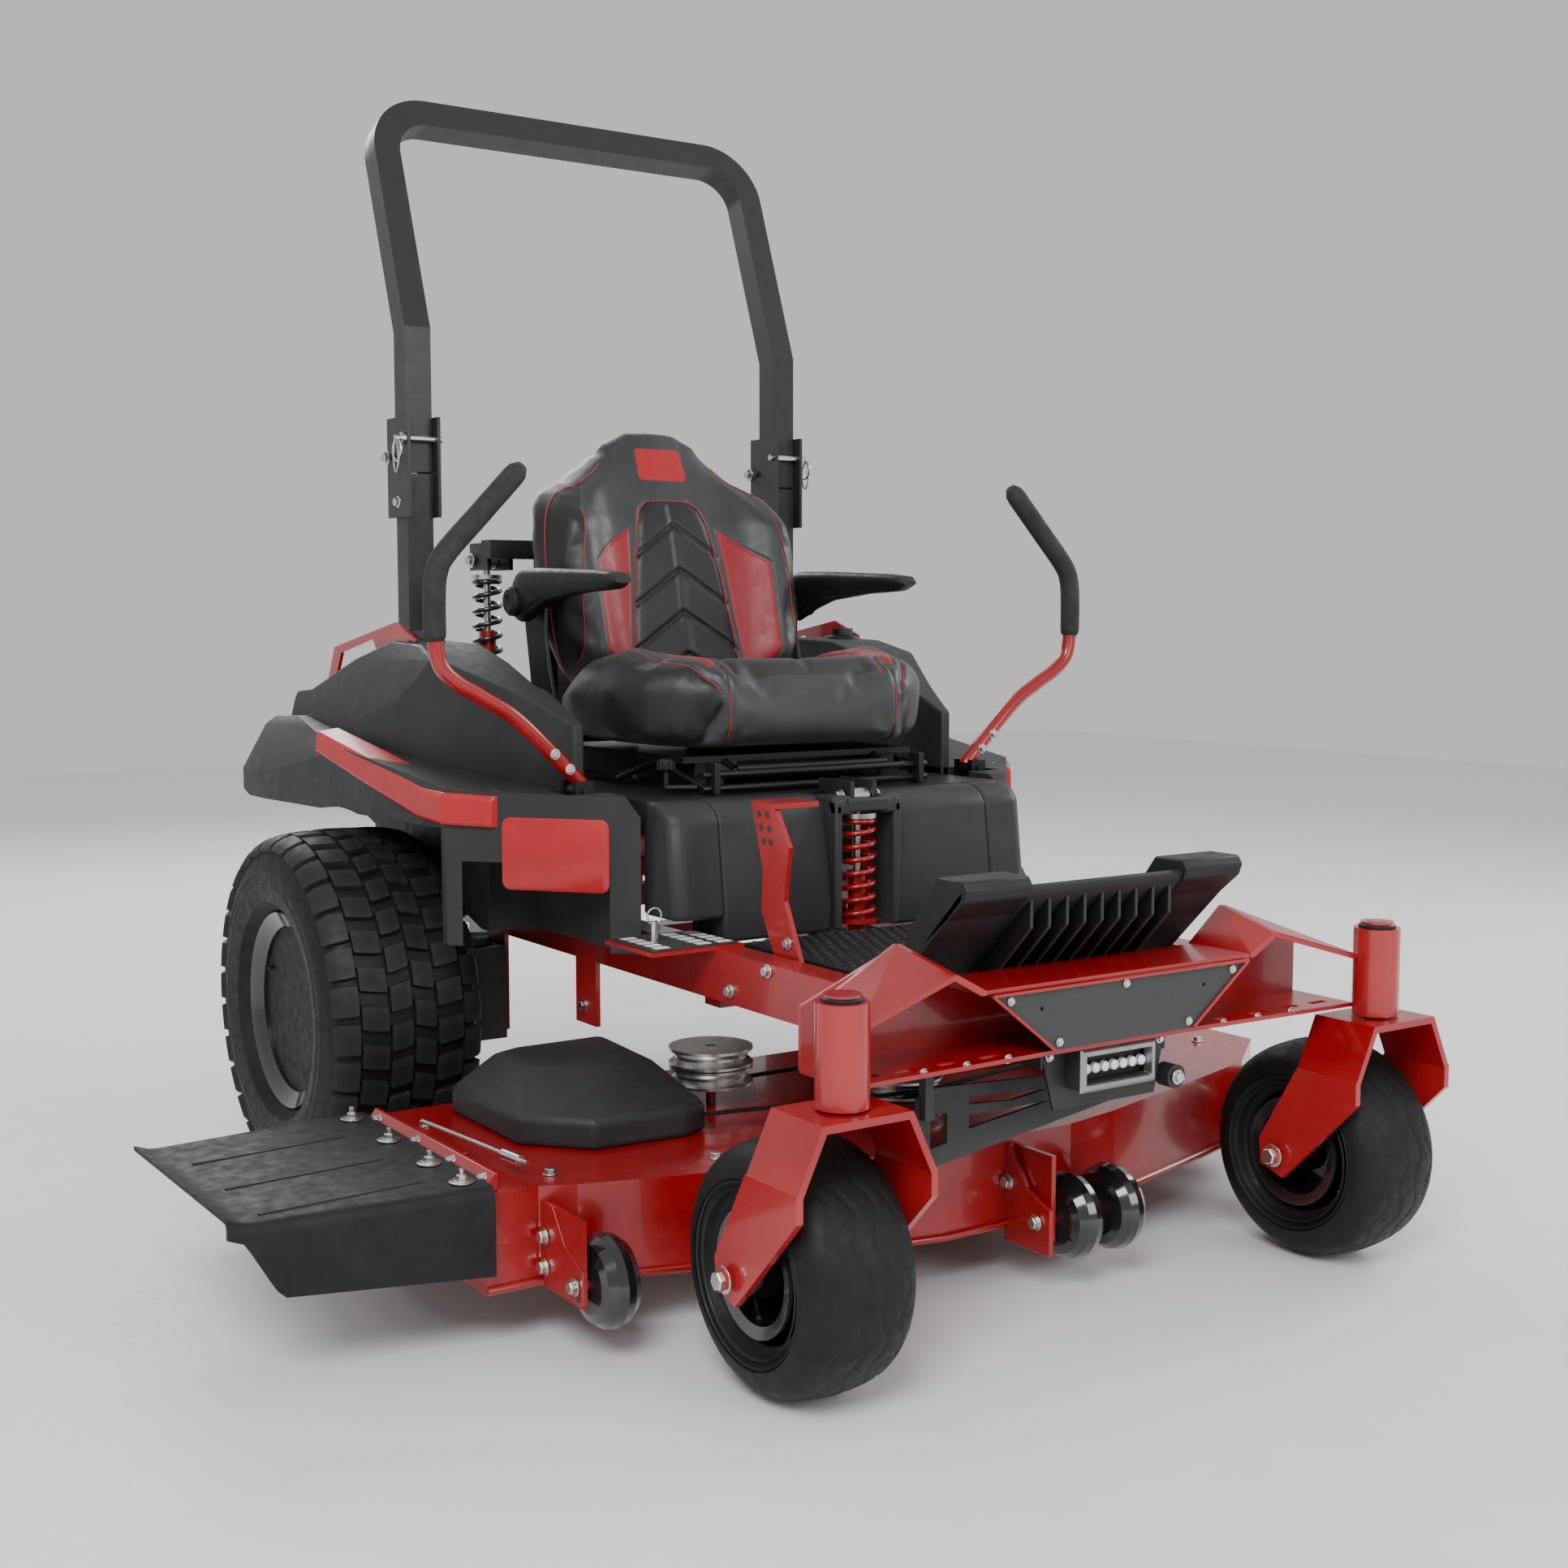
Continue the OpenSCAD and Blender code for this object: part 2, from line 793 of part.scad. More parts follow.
module platform_cover() placed() {
    color(plastic_grey)
        difference() {
            along_x([-350, 350])
                polygon([[-612, 470], [cover_y, 470], [cover_y + 18, plate_z - 22],
                    [cover_y + 50, plate_z], [-600, plate_z], [-612, plate_z - 16]]);
            box([-52, 52], [cover_y - 10, -620], [460, plate_z + 1]);
            box([-30, 30], [-630, -599], [660, plate_z + 1]);
            // Room over the rails and the height plate
            both()
                box([268, 351], [cover_y - 5, -590], [460, rail_z1 + 30]);
            along_x([-344, -58])
                polygon([[-600, 465], [cover_y + 6, 465], [cover_y + 24, plate_z - 26],
                    [-618, plate_z - 22]]);
            along_x([58, 344])
                polygon([[-600, 465], [cover_y + 6, 465], [cover_y + 24, plate_z - 26],
                    [-618, plate_z - 22]]);
        }
}

module footrest() placed() {
    color(trim_black) {
        difference() {
            along_x([-foot_half, foot_half])
                polygon([[-700, floor_z + 14], [-1100, floor_z + 14], [lip_y, 606], [lip_y, 622],
                    [-1096, floor_z + 26], [-700, floor_z + 26]]);
            box([-46, 46], [-720, -690], [440, 520]);
        }
        both()
            along_x([144, foot_half])
                polygon([[-1130, 500], [lip_y - 8, 600], [lip_y - 8, 626], [lip_y + 50, 626],
                    [-1130, 540]]);
        for (i = [-6:6])
            box([i * 36 - 12, i * 36 + 12], [-1050, -760], [floor_z + 26, floor_z + 30]);
    }
}

module eye_x(x, y, z)
    difference() {
        disc_x(x, y, z, 14);
        disc_x([x[0] - 1, x[1] + 1], y, z, 6 + fit);
    }

module damper(z)
    difference() {
        translate([0, 0, z[0] + 12])
            cylinder(h = (z[1] - z[0]) * 0.46, r = damper_r, $fn = 48);
        translate([0, 0, z[0] + 24])
            cylinder(h = z[1] - z[0], r = rod_r + fit, $fn = 48);
    }

module shock_bodies() placed() {
    color(trim_black) {
        both()
            translate([rear_shock_x, shock_y, 0]) {
                damper(rear_shock_z);
                translate([0, 0, rear_shock_z[0] + 18])
                    cylinder(h = 8, r = 30, $fn = 48);
                box([-14, 14], [-14, 14], [790, rear_shock_z[0] + 12]);
            }
        translate([0, front_shock_y, 0]) {
            damper(front_shock_z);
            translate([0, 0, front_shock_z[0] + 42])
                cylinder(h = 8, r = 33, $fn = 48);
            box([-14, 14], [-14, 14], [rail_z0, front_shock_z[0] + 12]);
        }
    }
    // Cross members that carry the lower ends
    color(frame_red) {
        box([-rail_in, rail_in], [front_shock_y - 22, front_shock_y + 22], [rail_z0 - 30, rail_z0]);
        both()
            box([rear_shock_x - 30, rops_in], [shock_y - 18, shock_y + 18], [770, 790]);
    }
}

module shock_rods() placed() {
    color(steel)
        both()
            translate([rear_shock_x, shock_y, 0]) {
                translate([0, 0, rear_shock_z[0] + 70])
                    cylinder(h = rear_shock_z[1] - rear_shock_z[0] - 82, r = rod_r, $fn = 48);
                translate([0, 0, rear_shock_z[1] - 34])
                    cylinder(h = 8, r = 30, $fn = 48);
            }
    color(steel)
        translate([0, front_shock_y, 0]) {
            translate([0, 0, front_shock_z[0] + 76])
                cylinder(h = front_shock_z[1] - front_shock_z[0] - 88, r = rod_r, $fn = 48);
            translate([0, 0, front_shock_z[1] - 34])
                cylinder(h = 8, r = 33, $fn = 48);
        }
    color(trim_black) {
        both()
            eye_x([rear_shock_x - 16, rear_shock_x + 16], shock_y, rear_shock_z[1]);
        eye_x([-16, 16], front_shock_y, front_shock_z[1]);
    }
}

// Coil about a vertical axis, as straight rods end to end
module coil(r, wire, z, turns) {
    steps = 16;
    n = turns * steps;
    points = [for (i = [0:n]) [r * cos(i * 360 / steps), r * sin(i * 360 / steps),
        z[0] + wire + (z[1] - z[0] - 2 * wire) * i / n]];
    for (i = [1:n])
        rod_coarse(points[i - 1], points[i], wire);
}

module rod_coarse(a, b, r) {
    v = b - a;
    length = norm(v);
    translate(a)
        rotate([0, acos(v[2] / length), atan2(v[1], v[0])])
            translate([0, 0, -0.8])
                cylinder(h = length + 1.6, r = r, $fn = 6);
}

module front_spring() placed()
    color(frame_red)
        translate([0, front_shock_y, 0])
            coil(27, spring_wire, [front_shock_z[0] + 50 + gap, front_shock_z[1] - 34 - gap],
                spring_turns);

module rear_springs() placed()
    color(trim_black)
        both()
            translate([rear_shock_x, shock_y, 0])
                coil(25, spring_wire, [rear_shock_z[0] + 26 + gap, rear_shock_z[1] - 34 - gap],
                    spring_turns);

// ---- Seat ----

module seat_rails() placed()
    color(trim_black)
        both() {
            box([160, 196], [-520, -60], [plate_z, plate_z + 22]);
            box([160, 196], [-520, -60], [plate_z + 22, plate_z + 30]);
        }

module seat_base() placed() {
    color(trim_black) {
        both()
            difference() {
                box([154, 202], [-500, -90], [plate_z + 12, pan_z - 10]);
                box([159.5, 196.5], [-530, -40], [plate_z - 1, plate_z + 30 + gap]);
            }
        box([-230, 230], [-510, -90], [pan_z - 10, pan_z]);
        // Back carrier and latch bar
        both()
            box([190, 206], [-92, -30], [pan_z - 10, 1020]);
        both()
            disc_x([200, 300], arm_y, arm_z, 8);
        rod_path([[-150, -496, plate_z + 52], [-150, -540, plate_z + 38],
            [150, -540, plate_z + 38], [150, -496, plate_z + 52]], 6);
    }
}

module seat_cushion() placed() {
    half = seat_w / 2;
    color(trim_black) {
        along_x([-half + 120, half - 120])
            polygon([[seat_front, pan_z + 22], [seat_front, cushion_top - 26],
                [seat_front + 30, cushion_top - 4], [seat_front + 90, cushion_top],
                [-160, cushion_top - 40], [-154, pan_z], [seat_front + 60, pan_z]]);
        both()
            hull() {
                box([half - 130, half - 124], [seat_front, -158], [pan_z, cushion_top - 20]);
                box([half - 40, half - 36], [seat_front + 70, -160], [pan_z, cushion_top + 4]);
                box([half - 6, half], [seat_front + 130, -180], [pan_z + 24, cushion_top - 24]);
            }
    }
}

module seat_back() placed() {
    half = back_w / 2;
    color(trim_black) {
        along_x([-half + 80, half - 80])
            polygon([[-150, pan_z + 62], [-70, 1290], [-40, back_top], [0, back_top], [30, 1290],
                [-28, pan_z + 62]]);
        both()
            hull() {
                box([half - 84, half - 80], [-140, -28], [pan_z + 62, pan_z + 70]);
                box([half - 12, half], [-150, -60], [1040, 1170]);
                box([half - 84, half - 80], [-120, 10], [1240, 1250]);
                box([half - 40, half - 30], [-120, -40], [pan_z + 90, pan_z + 98]);
            }
    }
}

module armrest(s)
    color(trim_black)
        side(s)
            difference() {
                along_x([272, 322])
                    polygon([[-428, 1026], [-424, 1040], [-400, 1048], [-200, 1056], [-70, 1056],
                        [-50, 1040], [-50, 978], [-94, 978], [-110, 1010], [-400, 1016]]);
                disc_x([271, 301], arm_y, arm_z, 8 + fit);
            }

module armrest_left() placed() armrest(left);

module armrest_right() placed() armrest(right);

// ---- Control levers ----

module lever_hub(s)
    side(s) {
        x = lever_pivot[0];
        color(trim_black)
            difference() {
                union() {
                    disc_x([x - 16, x + 16], lever_y, drive_z, 13);
                    box([x - 16, x + 16], [lever_y - 25, lever_y + 25], [drive_z - 8, drive_z + 10]);
                    for (y = [lever_y - 25, lever_y + 15])
                        box([x - 16, x + 16], [y, y + 10], [drive_z, drive_z + 44]);
                }
                disc_x([x - 20, x + 20], lever_y, drive_z, 7 + fit);
            }
        color(steel)
            rod([x, lever_y - 30, lever_pivot[2]], [x, lever_y + 30, lever_pivot[2]], 5);
    }

module lever_hub_left() placed() lever_hub(left);

module lever_hub_right() placed() lever_hub(right);

module lever(s)
    color(frame_red)
        side(s)
            difference() {
                union() {
                    rod_path(lever_points, lever_tube_r);
                    rod([lever_pivot[0], lever_y - 14, lever_pivot[2]],
                        [lever_pivot[0], lever_y + 14, lever_pivot[2]], 14);
                }
                rod([lever_pivot[0], lever_y - 20, lever_pivot[2]],
                    [lever_pivot[0], lever_y + 20, lever_pivot[2]], 5 + fit);
            }

module lever_left() placed() lever(left);

module lever_right() placed() lever(right);

module grip(s)
    color(rubber)
        side(s) {
            rod_path(grip_points, grip_r);
            translate(grip_points[2])
                sphere(r = grip_r + elbow_bulge, $fn = 32);
        }

module grip_left() placed() grip(left);

module grip_right() placed() grip(right);

// ---- Mower deck ----

module deck_outline()
    polygon([[-deck_right, deck_rear], [-deck_right, corner_y], [-688, corner_y], [-640, -912],
        [-500, deck_front], [-230, deck_nose + 22], [-120, deck_nose], [120, deck_nose],
        [230, deck_nose + 22], [500, deck_front], [640, -912], [deck_left, -800],
        [deck_left, deck_rear]]);

module deck_shell() placed() {
    color(frame_red) {
        difference() {
            along_z([deck_bottom, deck_top])
                deck_outline();
            along_z([deck_bottom - 1, deck_top - sheet])
                offset(delta = -sheet)
                    deck_outline();
            // Discharge opening in the right wall
            box([-deck_right - 1, -deck_right + 10], [corner_y + 20, deck_rear - 60],
                [deck_bottom + 20, deck_top - sheet]);
            at_spindles()
                translate([0, 0, deck_top - 20])
                    cylinder(h = 40, r = 40, $fn = 64);
        }
        // Bearing housings
        at_spindles()
            difference() {
                translate([0, 0, deck_top - 15])
                    cylinder(h = 22, r = 60, $fn = 64);
                translate([0, 0, deck_top - 20])
                    cylinder(h = 40, r = spindle_r + fit, $fn = 64);
            }
        // Gauge wheel brackets
        both()
            box([gauge_side[0] + 36, gauge_side[0] + 44], [gauge_side[1] - 16, -875],
                [gauge_z - 26, deck_top - 20]);
        box([2, 10], [gauge_pair_y - 20, deck_nose + sheet], [gauge_z - 26, deck_top - 10]);
        // Stud of the idler
        translate([idler_at[0], idler_at[1], deck_top - 2])
            cylinder(h = 88, r = 8, $fn = 48);
    }
    color(steel) {
        both()
            disc_x([gauge_side[0] - 36, gauge_side[0] + 50], gauge_side[1], gauge_z, 8);
        disc_x([-4, 172], gauge_pair_y, gauge_z, 8);
    }
}

module belt_covers() placed()
    color(trim_black)
        both()
            difference() {
                hull() {
                    along_z([deck_top, deck_top + 42])
                        polygon([[345, -470], [352, -775], [395, -795], [545, -785], [625, -695],
                            [625, -470]]);
                    along_z([deck_top + 70, deck_top + 100])
                        polygon([[372, -500], [384, -670], [400, -690], [515, -680], [568, -615],
                            [568, -500]]);
                }
                hull() {
                    along_z([deck_top - 1, deck_top + 40])
                        polygon([[351, -476], [358, -770], [397, -789], [542, -779], [619, -693],
                            [619, -476]]);
                    along_z([deck_top + 64, deck_top + 94])
                        polygon([[378, -506], [390, -667], [403, -684], [512, -674], [562, -613],
                            [562, -506]]);
                }
                // Ports for the belt
                box([320, 400], [-800, -540], [deck_top + 10, deck_top + 50]);
            }

module at_spindles() {
    for (x = [-spindle_x, spindle_x])
        translate([x, spindle_y, 0])
            children();
    translate([0, centre_spindle_y, 0])
        children();
}

module spindle(x, y)
    translate([x, y, 0]) {
        color(steel) {
            translate([0, 0, deck_bottom + 16])
                cylinder(h = deck_h + 30, r = spindle_r, $fn = 48);
            difference() {
                translate([0, 0, deck_bottom + 8])
                    box([-blade_r, blade_r], [-30, 30], [0, 6]);
                translate([0, 0, deck_bottom])
                    cylinder(h = 40, r = 8, $fn = 32);
            }
            translate([0, 0, deck_bottom + 2])
                cylinder(h = 14, r = 14, $fn = 6);
        }
        color(trim_black) {
            translate([0, 0, deck_bottom + 14])
                cylinder(h = deck_h - 30, r = 34, $fn = 48);
            pulley(belt_z, pulley_r);
        }
    }

module pulley(z, r)
    translate([0, 0, z - 14])
        rotate_extrude($fn = 64)
            polygon([[0, 0], [r + 6, 0], [r + 6, 4], [r - 3, 12], [r - 3, 16], [r + 6, 24], [r + 6, 28],
                [0, 28]]);

module spindle_left() placed() spindle(spindle_x, spindle_y);

module spindle_centre() placed() spindle(0, centre_spindle_y);

module spindle_right() placed() spindle(-spindle_x, spindle_y);

module idler_pulley() placed()
    color(steel)
        translate([idler_at[0], idler_at[1], 0])
            difference() {
                union() {
                    pulley(deck_top + 78, idler_r);
                    pulley(deck_top + 48, idler_r);
                }
                translate([0, 0, deck_top])
                    cylinder(h = 100, r = 8 + fit, $fn = 48);
            }

module belt_outline(r)
    hull() {
        for (x = [-spindle_x, spindle_x])
            translate([x, spindle_y])
                circle(r = r, $fn = 32);
        translate([0, centre_spindle_y])
            circle(r = r, $fn = 32);
    }

module deck_belt() placed()
    color(rubber)
        along_z([belt_z - 2, belt_z + 2])
            difference() {
                belt_outline(pulley_r + 9);
                belt_outline(pulley_r - 2);
            }

module deflector() placed()
    color(trim_black) {
        z = deflector_hinge[2];
        y = deflector_y;
        along_y([y[0] + 6, y[1]])
            polygon([[-deck_right, z - 4], [-deflector_out, z - 14], [-deflector_out, z - 8],
                [-deck_right, z + 3]]);
        // Hinge rod along the deck edge
        translate([deflector_hinge[0], y[0] + 20, z])
            rotate([-90, 0, 0])
                cylinder(h = y[1] - y[0] - 40, r = 5, $fn = 32);
        // Front flange with its cut outer corner
        along_y([y[0], y[0] + 6])
            polygon([[-700, z], [-deflector_out, z - 8], [-deflector_out + 6, z - 40], [-1064, 136],
                [-1030, 120], [-700, 110]]);
    }

module gauge_wheel(x, y)
    color(trim_black)
        turned_x(x, y, gauge_z)
            polygon([[8 + fit, -28], [40, -28], [gauge_r - 12, -24], [gauge_r - 3, -12],
                [gauge_r, 0], [gauge_r - 3, 12], [gauge_r - 12, 24], [40, 28], [8 + fit, 28]]);

module gauge_wheels_centre() placed() {
    gauge_wheel(52, gauge_pair_y);
    gauge_wheel(134, gauge_pair_y);
}

module gauge_wheel_left() placed() gauge_wheel(gauge_side[0], gauge_side[1]);

module gauge_wheel_right() placed() gauge_wheel(-gauge_side[0], gauge_side[1]);

// ---- Deck height controls ----

module height_gauge() placed() {
    color(frame_red)
        difference() {
            box([-435, -rail_in], [-760, -618], [rail_z1, rail_z1 + 6]);
            for (y = [-740:20:-640])
                translate([-360, y, rail_z1 - 1])
                    cylinder(h = 10, r = 4, $fn = 24);
        }
    color(steel)
        translate([-390, -690, rail_z1 + 6])
            cylinder(h = 30, r = 4, $fn = 24);
}

module lift_pedal() placed() {
    color(frame_red)
        difference() {
            along_x([lift_pivot[0] - 36, lift_pivot[0] - 28])
                polygon([[-900, 425], [-905, 460], [-856, 560], [-868, 640], [-828, 700],
                    [-770, 700], [-800, 600], [-796, 540], [-850, 440], [-860, 425]]);
            disc_x([lift_pivot[0] - 40, lift_pivot[0] - 20], lift_pivot[1], lift_pivot[2], 8 + fit);
        }
    color(frame_red)
        box([lift_pivot[0] - 36, lift_pivot[0] + 40], [-836, -770], [694, 702]);
}

frame_weldment();
front_beam();
front_panel();
light_bracket();
light_bar();
sway_arm();
fender_left();
fender_right();
fuel_tanks();
engine();
engine_cover();
rear_guard();
transaxles();
rops_posts();
height_gauge();
shock_bodies();
handle_plates();
caster_fork_left();
caster_fork_right();
caster_rim_left();
caster_rim_right();
caster_tyre_left();
caster_tyre_right();
rear_rim_left();
rear_rim_right();
rear_tyre_left();
rear_tyre_right();
rops_hoop();
rops_pin_left();
rops_pin_right();
platform_deck();
platform_cover();
footrest();
shock_rods();
front_spring();
rear_springs();
seat_rails();
seat_base();
seat_cushion();
seat_back();
armrest_left();
armrest_right();
lever_hub_left();
lever_hub_right();
lever_left();
lever_right();
grip_left();
grip_right();
deck_shell();
belt_covers();
deflector();
spindle_left();
spindle_centre();
spindle_right();
idler_pulley();
deck_belt();
gauge_wheels_centre();
gauge_wheel_left();
gauge_wheel_right();
lift_pedal();
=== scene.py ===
"""Looks of the zero turn mower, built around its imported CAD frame."""
import math

import bmesh
import bpy
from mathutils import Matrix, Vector
from mathutils.bvhtree import BVHTree


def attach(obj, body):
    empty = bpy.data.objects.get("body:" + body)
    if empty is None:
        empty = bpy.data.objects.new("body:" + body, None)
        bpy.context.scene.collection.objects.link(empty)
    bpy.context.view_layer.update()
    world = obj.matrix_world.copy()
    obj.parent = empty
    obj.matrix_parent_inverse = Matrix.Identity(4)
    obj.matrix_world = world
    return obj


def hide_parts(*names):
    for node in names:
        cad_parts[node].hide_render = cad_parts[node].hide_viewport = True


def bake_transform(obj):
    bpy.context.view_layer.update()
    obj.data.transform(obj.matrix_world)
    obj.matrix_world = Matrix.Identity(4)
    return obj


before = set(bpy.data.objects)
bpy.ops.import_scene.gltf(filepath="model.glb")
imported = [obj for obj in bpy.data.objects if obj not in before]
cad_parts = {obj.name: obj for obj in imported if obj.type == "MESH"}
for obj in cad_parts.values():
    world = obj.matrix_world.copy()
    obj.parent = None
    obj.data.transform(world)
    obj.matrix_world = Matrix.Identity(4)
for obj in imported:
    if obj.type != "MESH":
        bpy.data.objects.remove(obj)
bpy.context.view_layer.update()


X_MID, Y_MID = -157.5, -330.0          # design frame (axle, centre plane) to row frame, mm
LEFT, RIGHT = 1, -1

WHEELBASE = 1219
TYRE_R, TYRE_HALF, TRACK = 305, 135, 610
CASTER_X, CASTER_R, CASTER_HALF = 489, 165, 82.5


def P(x, y, z):
    """A point of the design frame (mm) in the row frame (m)."""
    return Vector(((x - X_MID) / 1000, (y - Y_MID) / 1000, z / 1000))


# ---------------------------------------------------------------- materials

def nodes_of(mat):
    return mat.node_tree.nodes, mat.node_tree.links


def finish(name, colour, rough, metallic=0.0, coat=0.0, grain=400.0, relief=0.00004, speck=0.12,
           wear=None, dust=0.0, cells=False, specular=0.5, sheen=0.0):
    """Principled surface with mottled colour, varied roughness, fine grain, worn edges and dust."""
    mat = bpy.data.materials.new(name)
    mat.use_nodes = True
    n, link = nodes_of(mat)
    bsdf = n["Principled BSDF"]
    bsdf.inputs["Metallic"].default_value = metallic
    bsdf.inputs["Coat Weight"].default_value = coat
    bsdf.inputs["Coat Roughness"].default_value = 0.08
    bsdf.inputs["Specular IOR Level"].default_value = specular
    bsdf.inputs["Sheen Weight"].default_value = sheen
    where = n.new("ShaderNodeTexCoord").outputs["Object"]

    def noise(scale, detail=3.0):
        t = n.new("ShaderNodeTexNoise")
        t.inputs["Scale"].default_value = scale
        t.inputs["Detail"].default_value = detail
        link.new(where, t.inputs["Vector"])
        return t.outputs["Fac"]

    def ramp(value, low, high, out_low, out_high):
        r = n.new("ShaderNodeMapRange")
        for key, v in zip(("From Min", "From Max", "To Min", "To Max"), (low, high, out_low, out_high)):
            r.inputs[key].default_value = v
        link.new(value, r.inputs["Value"])
        return r.outputs["Result"]

    def mix(factor, a, b):
        m = n.new("ShaderNodeMix")
        m.data_type = "RGBA"
        link.new(factor, m.inputs["Factor"])
        for sock, v in ((m.inputs[6], a), (m.inputs[7], b)):
            if isinstance(v, tuple):
                sock.default_value = (*v, 1.0)
            else:
                link.new(v, sock)
        return m.outputs[2]

    dark = tuple(c * (1 - speck) for c in colour)
    light = tuple(min(1.0, c * (1 + speck) + 0.002) for c in colour)
    shade = mix(ramp(noise(14.0), 0.35, 0.65, 0, 1), dark, light)
    if dust:
        shade = mix(ramp(noise(40.0, 6.0), 0.45, 0.8, 0, dust), shade, (0.30, 0.27, 0.22))
    if wear:
        geometry = n.new("ShaderNodeNewGeometry")
        edge = ramp(geometry.outputs["Pointiness"], 0.53, 0.60, 0, wear[1])
        shade = mix(edge, shade, wear[0])
    link.new(shade, bsdf.inputs["Base Color"])
    link.new(ramp(noise(55.0, 5.0), 0.3, 0.7, rough * 0.85, min(1.0, rough * 1.18)),
             bsdf.inputs["Roughness"])
    bump = n.new("ShaderNodeBump")
    bump.inputs["Distance"].default_value = relief
    bump.inputs["Strength"].default_value = 1.0
    if cells:
        v = n.new("ShaderNodeTexVoronoi")
        v.inputs["Scale"].default_value = grain
        link.new(where, v.inputs["Vector"])
        link.new(v.outputs["Distance"], bump.inputs["Height"])
    else:
        link.new(noise(grain, 4.0), bump.inputs["Height"])
    link.new(bump.outputs["Normal"], bsdf.inputs["Normal"])
    return mat


RED = (0.30, 0.0014, 0.0038)
RED_PALE = (0.42, 0.006, 0.011)
GREY = (0.024, 0.0248, 0.026)
BLACK = (0.004, 0.0042, 0.0044)

M = {
    "red_paint": finish("red_paint", RED, 0.30, coat=0.5, grain=700, relief=0.00003, speck=0.06,
                        wear=((0.50, 0.03, 0.035), 0.35)),
    "black_paint": finish("black_paint", (0.0055, 0.0057, 0.006), 0.40, coat=0.08, specular=0.35, grain=900,
                          relief=0.00004, wear=((0.045, 0.045, 0.047), 0.4)),
    "grey_plastic": finish("grey_plastic", GREY, 0.52, grain=1500, relief=0.00006, speck=0.05,
                           specular=0.35, wear=((0.075, 0.077, 0.08), 0.4)),
    "black_plastic": finish("black_plastic", (0.007, 0.0072, 0.0076), 0.48, grain=1300, relief=0.00006,
                            specular=0.35,
                            wear=((0.07, 0.07, 0.075), 0.4)),
    "rubber": finish("rubber", (0.0085, 0.0085, 0.0088), 0.60, grain=900, relief=0.0001, speck=0.08,
                     specular=0.3),
    "tyre": finish("tyre", (0.0055, 0.0055, 0.0057), 0.56, grain=420, relief=0.00016, speck=0.06,
                   specular=0.3,
                   wear=((0.03, 0.03, 0.03), 0.5)),
    "upholstery": finish("upholstery", (0.022, 0.023, 0.024), 0.44, grain=900, relief=0.00012,
                         cells=True, sheen=0.1),
    "zinc": finish("zinc", (0.62, 0.62, 0.60), 0.30, metallic=1.0, grain=500, relief=0.00004),
    "casting": finish("casting", (0.075, 0.077, 0.080), 0.55, metallic=0.35, grain=600,
                      relief=0.00016, dust=0.06),
    "gloss_black": finish("gloss_black", (0.008, 0.008, 0.009), 0.16, coat=0.8, grain=500,
                          relief=0.00002, wear=((0.08, 0.08, 0.085), 0.3)),
    "lens": finish("lens", (0.80, 0.82, 0.84), 0.10, coat=1.0, grain=200, relief=0.00012),
    "foam": finish("foam", (0.020, 0.020, 0.021), 0.86, grain=1400, relief=0.00022, cells=True),
    "decal": finish("decal", RED_PALE, 0.38, coat=0.25, grain=800, relief=0.00001, speck=0.04),
    "decal_white": finish("decal_white", (0.78, 0.78, 0.76), 0.42, grain=800, relief=0.00001, speck=0.05),
    "thread": finish("thread", (0.45, 0.012, 0.018), 0.6, grain=2600, relief=0.00012),
    "satin_steel": finish("satin_steel", (0.34, 0.34, 0.35), 0.34, metallic=1.0, grain=800, relief=0.00004),
}

# ---------------------------------------------------------------- pieces

def piece(name, mesh, mat, body, smooth=30.0, bevel=0.0, segments=3, subdivide=0):
    """A finished object: smooth shading, optional bevel and subdivision, riding on its body if it has one."""
    obj = bpy.data.objects.new(name, mesh)
    bpy.context.scene.collection.objects.link(obj)
    for m in (mat if isinstance(mat, (list, tuple)) else [mat]):
        mesh.materials.append(M[m] if isinstance(m, str) else m)
    if subdivide:
        s = obj.modifiers.new("subdivide", "SUBSURF")
        s.levels = s.render_levels = subdivide
    if bevel:
        b = obj.modifiers.new("bevel", "BEVEL")
        b.width = bevel / 1000
        b.segments = segments
        b.limit_method = "ANGLE"
        b.angle_limit = math.radians(28)
        b.use_clamp_overlap = True
    for p in mesh.polygons:
        p.use_smooth = True
    if not subdivide:
        mesh.set_sharp_from_angle(angle=math.radians(smooth))
    if body:
        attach(obj, body)
    return obj


